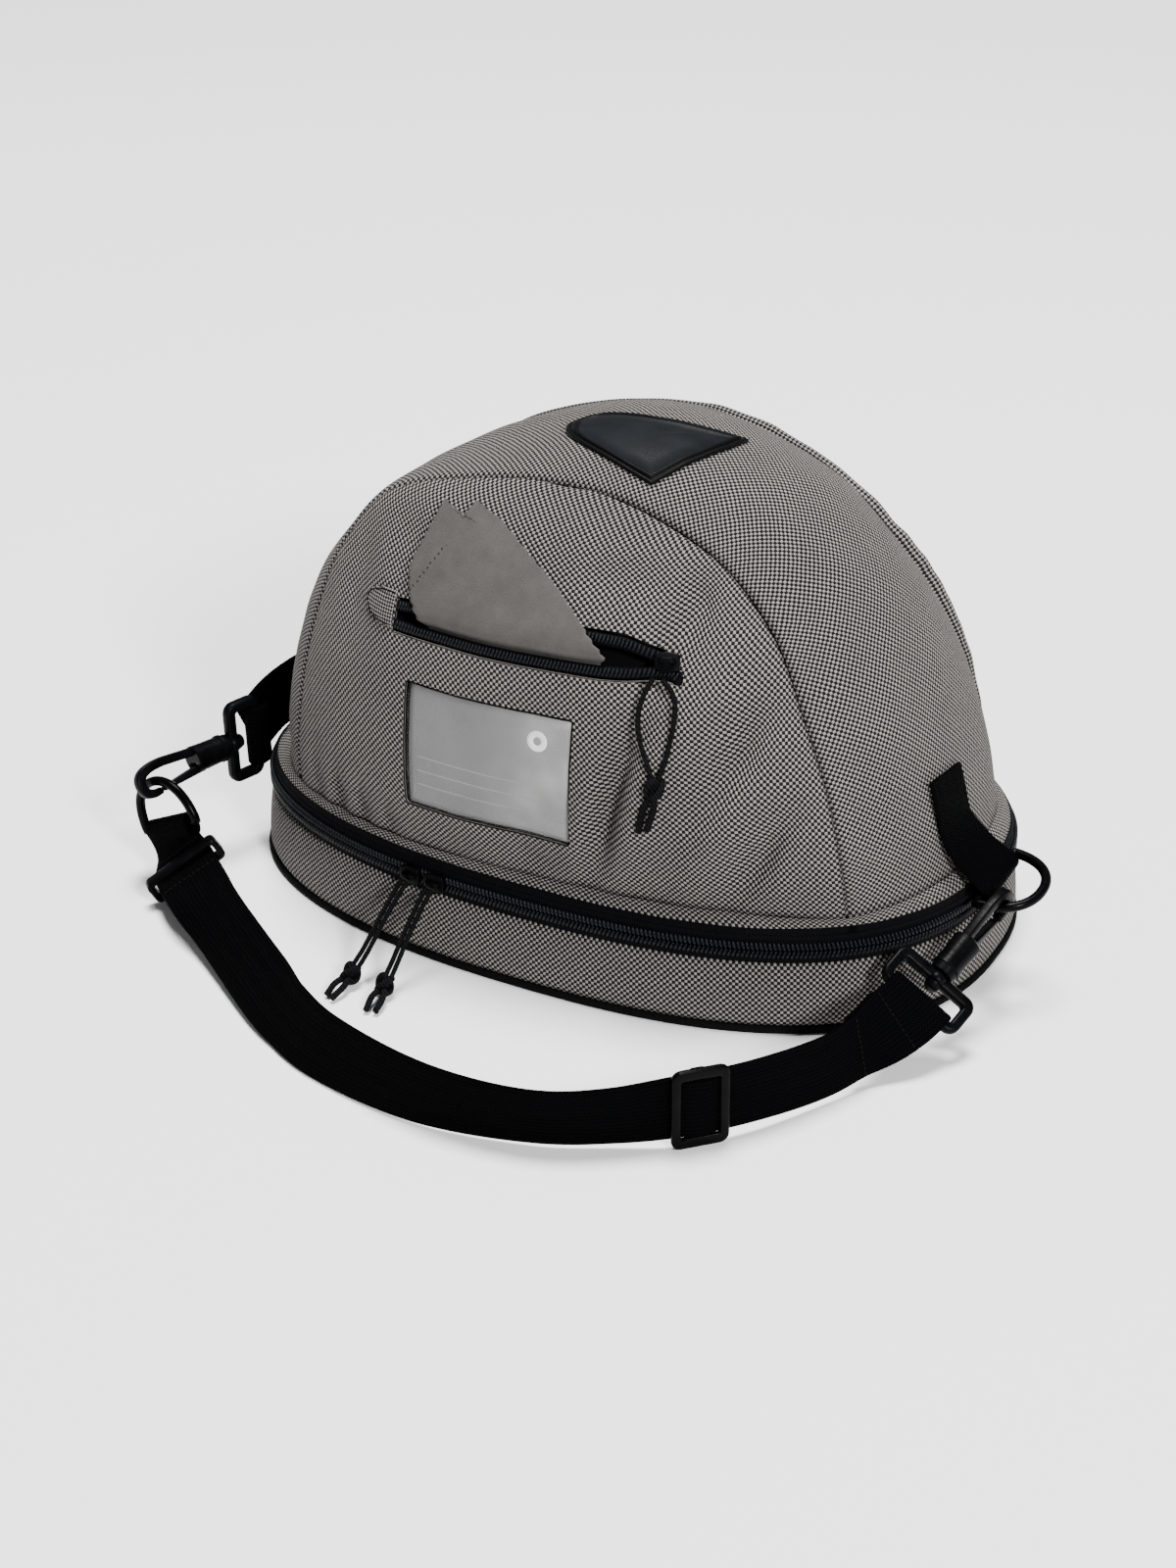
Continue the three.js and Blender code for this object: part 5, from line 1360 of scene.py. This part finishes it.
def wire_ring(name, bar, out, along):
    """A D of round wire: its straight bar through a place, and its bow away from it."""

    def bezier(a, b, c, d, t):
        return a * (1 - t) ** 3 + 3 * b * t * (1 - t) ** 2 + 3 * c * t * t * (1 - t) + d * t ** 3

    h, d = RING_HALF, RING_DEEP
    steps = 24
    flat = [(0, h - 2 * h * k / 16) for k in range(17)]
    for t in [k / steps for k in range(1, steps + 1)]:
        flat.append((bezier(0, 0.62 * d, d, d, t), bezier(-h, -h, -0.6 * h, 0, t)))
    for t in [k / steps for k in range(1, steps)]:
        flat.append((bezier(d, d, 0.62 * d, 0, t), bezier(0, 0.6 * h, h, h, t)))
    line = [bar + out * x + along * y for x, y in flat]
    return to_mesh(tube_curve(name, line, WIRE + 0.25, closed=True, steps=6))


webbing = webbing_stuff()
glossy = plastic_stuff("glossy_plastic", (0.0006, 0.0006, 0.0007), (0.0014, 0.0014, 0.0017), 0.16, 0.32)
ring_right_bar, ring_right_along = Vector((180.5, -17, 50.5)), Vector((0.1, 0.95, 0.22)).normalized()
ring_right_out = squared(Vector((0.94, -0.33, -0.06)), ring_right_along)
tab_right = sewn_tab("tab_of_ring", [
    on_band(0.105, -0.26, (0.05, 1, 0)),
    on_band(0.081, -0.26, (0.05, 1, 0)),
    on_band(0.053, -0.25, (0.05, 1, 0.02)),
    (Vector((172, -18, 61)), Vector((0.08, 1, 0.12))),
], ring_right_bar, ring_right_along, Vector((1, 0, 0.5)))
settle(tab_right, webbing, ["tab_right"])
ring_right = wire_ring("wire_ring_right", ring_right_bar, ring_right_out, ring_right_along)
settle(ring_right, glossy, ["ring_right"])

# Snap hooks. A swivel frame that the webbing goes through, a turned barrel with a curved arm, and a
# sprung gate on a pin, all moulded in dark plastic.
HOOK_SEAT = (59.5, -1.5)  # where a ring lies in the hook, along it from the bar and up
SWIVEL, HOOK_WIDE, BORE = 13.6, 17.6, 2.45  # place of the frame's boss, half width of the frame, bore
PIVOT = (33.5, -4.2)
# Places along the hook and radii of the swivel's stem and the barrel
SHANK = (
    (8.35, 0), (8.35, 2.5), (8.8, 3.05), (10.9, 3.75), (11.25, 3.5), (11.25, 2.1), (15.95, 2.1),
    (15.95, 4.5), (16.4, 5.5), (19.5, 6.0), (19.9, 6.5), (21.4, 6.5), (21.8, 6.0), (30, 6.3),
    (35.8, 6.6), (36.5, 6.0), (36.5, 0),
)
GATE_SLOT = ((30.5, 44.5), (-10.1, -1.1), (-2.2, 2.2))


def turned(name, profile, steps=36):
    """A turned piece along X through places and radii, its ends closed."""
    turns = [2 * math.pi * k / steps for k in range(steps)]
    rows = [[Vector((x, r * math.cos(a), r * math.sin(a))) for a in turns] for x, r in profile]
    uvs = [[(0, 0)] * (steps + 1)] * len(rows)
    return smooth_to(clean(grid_piece(name, rows, uvs, ring=True, middle=Vector((20, 0, 0))), 0.01), 40)


def frame_piece(name, outer, inner, half, width):
    """A flat frame between two loops of equal count, with rounded edges."""
    count = len(outer)
    points = [Vector((x, y, z)) for z in (-half, half) for loop in (outer, inner) for x, y in loop]
    faces = []
    for k in range(count):
        m = (k + 1) % count
        a, b, c, d = 0, count, 2 * count, 3 * count
        faces += [(a + k, b + k, b + m, a + m), (c + k, c + m, d + m, d + k),
                  (a + k, a + m, c + m, c + k), (b + k, d + k, d + m, b + m)]
    return bevelled(clean(mesh_piece(name, points, faces)), width)


def quad_curve(start, control, end):
    """Points after the start of a curve that a control point pulls."""
    spots = []
    for t in [k / 10 for k in range(1, 11)]:
        spots.append(tuple(a * (1 - t) ** 2 + 2 * b * t * (1 - t) + c * t * t
                           for a, b, c in zip(start, control, end)))
    return spots


def hook(side, bar, axis, up, across):
    """A whole hook from the bar that the webbing holds; up is the side of its arm's back."""
    edge = WIRE + 0.8
    outer = rounded(-WIRE - 0.3, SWIVEL + WIRE + 0.9, -HOOK_WIDE - edge, HOOK_WIDE + edge, 5)
    inner = rounded(WIRE, SWIVEL - WIRE - 0.3, -HOOK_WIDE + WIRE, HOOK_WIDE - WIRE, 1.2)
    swivel = frame_piece("swivel_frame_" + side, outer, inner, WIRE + 0.5, 1.5)
    boss = turned("boss", [(SWIVEL + x, r) for x, r in (
        (-2, BORE), (-2, 3.7), (-1.4, 4.2), (1.4, 4.2), (2, 3.7), (2, BORE), (-2, BORE))])
    settle(put(join(swivel, boss), axes(bar, axis, across)), moulded, ["hook_frame_" + side])

    body = turned("hook_shank_" + side, SHANK)
    xs, ys, zs = GATE_SLOT
    corners = [Vector((x, y, z)) for x in xs for y in ys for z in zs]
    sides = [(0, 1, 3, 2), (4, 6, 7, 5), (0, 4, 5, 1), (2, 3, 7, 6), (0, 2, 6, 4), (1, 5, 7, 3)]
    slot_box = clean(mesh_piece("slot", corners, sides))
    apply(body, "BOOLEAN", operation="DIFFERENCE", object=slot_box, solver="EXACT")
    bpy.data.objects.remove(slot_box)
    loop = [(30, 1.4), (30, 5.6), (52, 7.6)]
    loop += quad_curve((52, 7.6), (68.4, 8), (68.4, -1)) + quad_curve((68.4, -1), (68.2, -9), (60.4, -8.8))
    loop += [(56.7, -8.2), (57.2, -5)]
    loop += quad_curve((57.2, -5), (64, -5.8), (64, -1.2)) + quad_curve((64, -1.2), (64, 3.4), (52, 3.2))
    arm = slab("arm", loop[::-1], 2.2, 0.9)
    pin = turned("pin", ((-3.2, 0), (-3.2, 0.75), (-3, 0.9), (3, 0.9), (3.2, 0.75), (3.2, 0)), 16)
    put(pin, Matrix.Translation((*PIVOT, 0)) @ Matrix.Rotation(math.pi / 2, 4, "Y"))
    placing = axes(bar, axis, up)
    settle(put(join(body, arm, pin), placing), moulded, ["hook_body_" + side])

    loop = [(PIVOT[0] + 2.3 * math.cos(a), PIVOT[1] + 2.3 * math.sin(a))
            for a in [math.pi * (0.35 + 1.25 * k / 14) for k in range(15)]]
    loop += [(55.4, -7.7), (56, -7.1), (56, -5.8), (55.4, -5.2)]
    gate = put(slab("gate_lever_" + side, loop, 1.8), placing)
    settle(gate, moulded, ["hook_gate_" + side], "gate_" + side)


def hook_back(axis, wire_along):
    """The upward direction of a hook's back, square to the hook and to the wire that it holds."""
    up = squared(wire_along, axis).cross(axis)
    return -up if up.z < 0 else up


HELD_OUT, HELD_ALONG = 10, 16.9  # where the strap's hook holds the right ring
held = ring_right_bar + ring_right_out * HELD_OUT - ring_right_along * HELD_ALONG
hook_right_axis = Vector((0.25, 0.885, 0.39)).normalized()
hook_right_up = hook_back(hook_right_axis, ring_right_out * 0.97 + ring_right_along * 0.24)
hook_right_across = squared(Vector((-0.808, 0.047, 0.588)), hook_right_axis)
hook_right_bar = held - hook_right_axis * HOOK_SEAT[0] - hook_right_up * HOOK_SEAT[1]
hook("right", hook_right_bar, hook_right_axis, hook_right_up, hook_right_across)

ring_left_along = Vector((0.87, -0.2, 0.45)).normalized()
ring_left_out = squared(Vector((-0.443, 0.075, 0.893)), ring_left_along)
hook_left_bar, hook_left_axis = Vector((-173.5, -45, 54)), Vector((-0.353, -0.934, -0.05)).normalized()
hook_left_up = hook_back(hook_left_axis, ring_left_along)
hook_left_across = squared(UP, hook_left_axis)
tab_left = sewn_tab("tab_of_hook", [
    on_band(0.938, 0.16, (0.07, 0, 1)),
    on_band(0.94, -0.05, (0.07, 0, 1)),
    (Vector((-167, -18, 69)), UP),
    (Vector((-172.5, -31, 63.5)), UP),
], hook_left_bar, hook_left_across, Vector((-1, 0, 0)))
settle(tab_left, webbing, ["tab_left"])
hook("left", hook_left_bar, hook_left_axis, hook_left_up, hook_left_across)
ring_left_bar = (hook_left_bar + hook_left_axis * HOOK_SEAT[0] + hook_left_up * HOOK_SEAT[1]
                 - ring_left_out * RING_DEEP)
ring_left = wire_ring("wire_ring_left", ring_left_bar, ring_left_out, ring_left_along)
settle(ring_left, glossy, ["ring_left"])

# Shoulder strap. One length of black webbing from the left ring over the floor in front of the bag to
# the right hook, its ends doubled back and sewn, with a keeper and a length adjuster on it.
# Columns: place of the webbing's middle, and the direction across it
BENDS = [
    (-173.8, -110.4, 17.4, 0.89, 0.1, 0.44),
    (-149, -134, 19, 0.82, 0.3, 0.48),
    (-132, -147, 18, 0.76, 0.17, 0.63),
    (-115, -159.5, 15.8, 0.76, 0.15, 0.64),
    (-88, -180, 13.6, 0.73, 0.2, 0.65),
    (-64, -198.3, 13.8, 0.65, 0.09, 0.76),
    (-37.7, -213.2, 14.6, 0.53, 0.1, 0.84),
    (17, -227.4, 15.9, 0.35, -0.02, 0.93),
    (65.8, -222.5, 16.4, 0.17, -0.18, 0.97),
    (92, -210, 17.2, 0.08, -0.15, 0.98),
    (115, -194.6, 19.3, 0, -0.03, 1),
    (134.7, -173.2, 19.3, -0.03, -0.06, 1),
    (154, -140.2, 18, -0.15, -0.21, 0.97),
    (161.7, -122.6, 20, -0.27, -0.3, 0.91),
]
bends = [(Vector(row[:3]), Vector(row[3:]).normalized()) for row in BENDS]
strap_stops = [
    (ring_left_bar, ring_left_along),
    (ring_left_bar + Vector((3.4, -0.9, -7.4)), ring_left_along),
    *bends,
    (hook_right_bar + Vector((-2.2, -8.2, -1.6)), hook_right_across),
    (hook_right_bar, hook_right_across),
]
STRAP_STEPS = 240
LAYER = 1.15  # distance of each layer of webbing from the strap's middle
RETURN, AT_BAR = 42.0, 1.5  # length that is doubled back, and length that the turn round a bar takes
strap_middle, strap_across = [p for p, _ in strap_stops], [w for _, w in strap_stops]
strap_path = []
for i in range(STRAP_STEPS + 1):
    t = i / STRAP_STEPS
    tangent = (catmull(strap_middle, min(t + 1e-3, 1)) - catmull(strap_middle, max(t - 1e-3, 0))).normalized()
    lean = catmull(strap_across, t).normalized()
    at_bar = i in (0, STRAP_STEPS)
    w = lean if at_bar else squared(lean, tangent)
    along = squared(tangent, lean) if at_bar else tangent
    strap_path.append((catmull(strap_middle, t), w, along, along.cross(w)))
strap_walked = lengths([stop[0] for stop in strap_path])
strap_length = strap_walked[-1]


def strap_layer(i, sign):
    """A stop of one of the strap's two layers, which part round the bars at its ends."""
    distance = min(strap_walked[i], strap_length - strap_walked[i])
    out = LAYER + (WRAP - LAYER) * math.exp(-(distance / 7) ** 2)
    return strap_path[i][0] + strap_path[i][3] * (sign * out), strap_path[i][1]


first, last = strap_path[0], strap_path[-1]
start_back = [i for i in range(1, STRAP_STEPS) if AT_BAR < strap_walked[i] < RETURN]
end_back = [i for i in range(1, STRAP_STEPS) if AT_BAR < strap_length - strap_walked[i] < RETURN]
main = [i for i in range(1, STRAP_STEPS) if AT_BAR < strap_walked[i] < strap_length - AT_BAR]
strap = ribbon("shoulder_strap", [
    *[strap_layer(i, -1) for i in reversed(start_back)],
    *wrap(first[0], -first[2], -first[3], first[1]),
    *[strap_layer(i, 1) for i in main],
    *wrap(last[0], last[2], last[3], last[1]),
    *[strap_layer(i, -1) for i in reversed(end_back)],
])
settle(strap, webbing, ["strap"])


def strap_at(distance):
    """The strap's middle at a distance along it, with its directions across and along."""
    k = max(i for i in range(STRAP_STEPS) if strap_walked[i] <= distance)
    share = (distance - strap_walked[k]) / (strap_walked[k + 1] - strap_walked[k])
    here, following = strap_path[k], strap_path[k + 1]
    along = here[2].lerp(following[2], share).normalized()
    w = squared(here[1].lerp(following[1], share), along)
    return here[0].lerp(following[0], share), w, along


KEEPER_AT, ADJUSTER_AT = 25, 0.755  # a distance, and a share of the strap's length
p, w, along = strap_at(KEEPER_AT)
keeper_outer, keeper_inner = rounded(-19, 19, -5.6, 5.6, 2.5), rounded(-16.2, 16.2, -3.6, 3.6, 0.9)
keeper = frame_piece("strap_keeper", keeper_outer, keeper_inner, 3.5, 0.8)
settle(put(keeper, axes(p, w, along.cross(w))), moulded, ["keeper"])

adjuster_outer, adjuster_inner = rounded(-12.2, 12.2, -18.4, 18.4, 4), rounded(-8.3, 8.3, -13.5, 13.5, 0.8)
adjuster = frame_piece("strap_adjuster", adjuster_outer, adjuster_inner, 1.3, 0.9)
put(adjuster, Matrix.Translation((0, 0, 2.7)))
cross_bar = slab("bar", rounded(-3, 3, -15.9, 15.9, 1), 0.6, 0.4)
put(cross_bar, Matrix.Translation((0, 0, -1.8)))
blocks = []
for middle in (-15.6, 15.6):
    block = slab("side", rounded(-3, 3, middle - 0.5, middle + 0.5, 0.4), 2.0, 0.4)
    blocks.append(put(block, Matrix.Translation((0, 0, 0.2))))
p, w, along = strap_at(ADJUSTER_AT * strap_length)
adjuster_place = axes(p + along.cross(w) * LAYER, along, w)
settle(put(join(adjuster, cross_bar, *blocks), adjuster_place), glossy, ["adjuster"])

# The webbing rises over the adjuster's bar
OVER_HALF = [(-9.5, 1.2), (-7.5, 1.6), (-5.5, 2.6), (-3, 3.3)]
over_bar = [*OVER_HALF, (0, 3.5), *[(-x, z) for x, z in reversed(OVER_HALF)]]
loop_over = ribbon("strap_over_bar", [(Vector((x, 0, z)), Vector((0, 1, 0))) for x, z in over_bar], 26.8)
settle(put(loop_over, adjuster_place), webbing)


def strap_stitches(name, distances, rows, sign):
    """Rows of stitches across the webbing's face on one of its sides."""
    spots = []
    for distance in distances:
        p, w, along = strap_at(distance)
        out = along.cross(w) * sign
        for across in rows:
            spots.append((p + w * across + out * (LAYER + WEB_THICK / 2 + 0.1), w, out))
    return stitches(name, spots, 2.0, 0.3)


across_rows = [-12.5 + 2.5 * k for k in range(11)]
sewn_at = [14.0, 38.0, strap_length - 16, strap_length - 38]
upper = strap_stitches("strap_end_stitches", sewn_at, across_rows, 1)
under = strap_stitches("under_stitches", sewn_at, across_rows, -1)
settle(join(upper, under), black_thread)

# Floor, light and camera. A plain pale floor under soft studio light: a small key light in front at the
# right and a wide light overhead, seen as in the photograph.
bpy.ops.mesh.primitive_plane_add(size=14, location=(0, 2, 0))
floor = bpy.context.active_object
floor.name = "floor"
pale = speckled("pale_floor", 0.9, 400, 2, (0.9, 0.9, 0.9), (0.92, 0.92, 0.92))[0]
floor.data.materials.append(pale)

world = bpy.data.worlds.new("studio")
bpy.context.scene.world = world
world.use_nodes = True
sky = world.node_tree.nodes["Background"]
sky.inputs["Color"].default_value = (0.95, 0.97, 1.0, 1)
sky.inputs["Strength"].default_value = 0.2


def softbox(name, place, aim, size, power):
    """A round area light in metres and watts."""
    data = bpy.data.lights.new(name, "AREA")
    data.shape = "DISK"
    data.size = size
    data.energy = power
    light = bpy.data.objects.new(name, data)
    light.location = place
    light.rotation_euler = (Vector(aim) - Vector(place)).to_track_quat("-Z", "Y").to_euler()
    bpy.context.collection.objects.link(light)


softbox("key", (2.6, -2.2, 2.1), (0, 0, 0.08), 0.7, 230)
softbox("top", (-0.3, 0.5, 4.2), (0, 0, 0.1), 1.7, 430)

TARGET = Vector((-0.0046, -0.0368, 0.0623))
AZIMUTH, ELEVATION, DISTANCE = math.radians(26.5), math.radians(27.19), 1.4
level = math.cos(ELEVATION)
back = Vector((math.sin(AZIMUTH) * level, -math.cos(AZIMUTH) * level, math.sin(ELEVATION)))
lens = bpy.data.cameras.new("camera")
lens.sensor_width = 36
lens.lens = 72.16
camera = bpy.data.objects.new("camera", lens)
camera.location = TARGET + back * DISTANCE
camera.rotation_euler = (-back).to_track_quat("-Z", "Y").to_euler()
bpy.context.collection.objects.link(camera)
bpy.context.scene.camera = camera
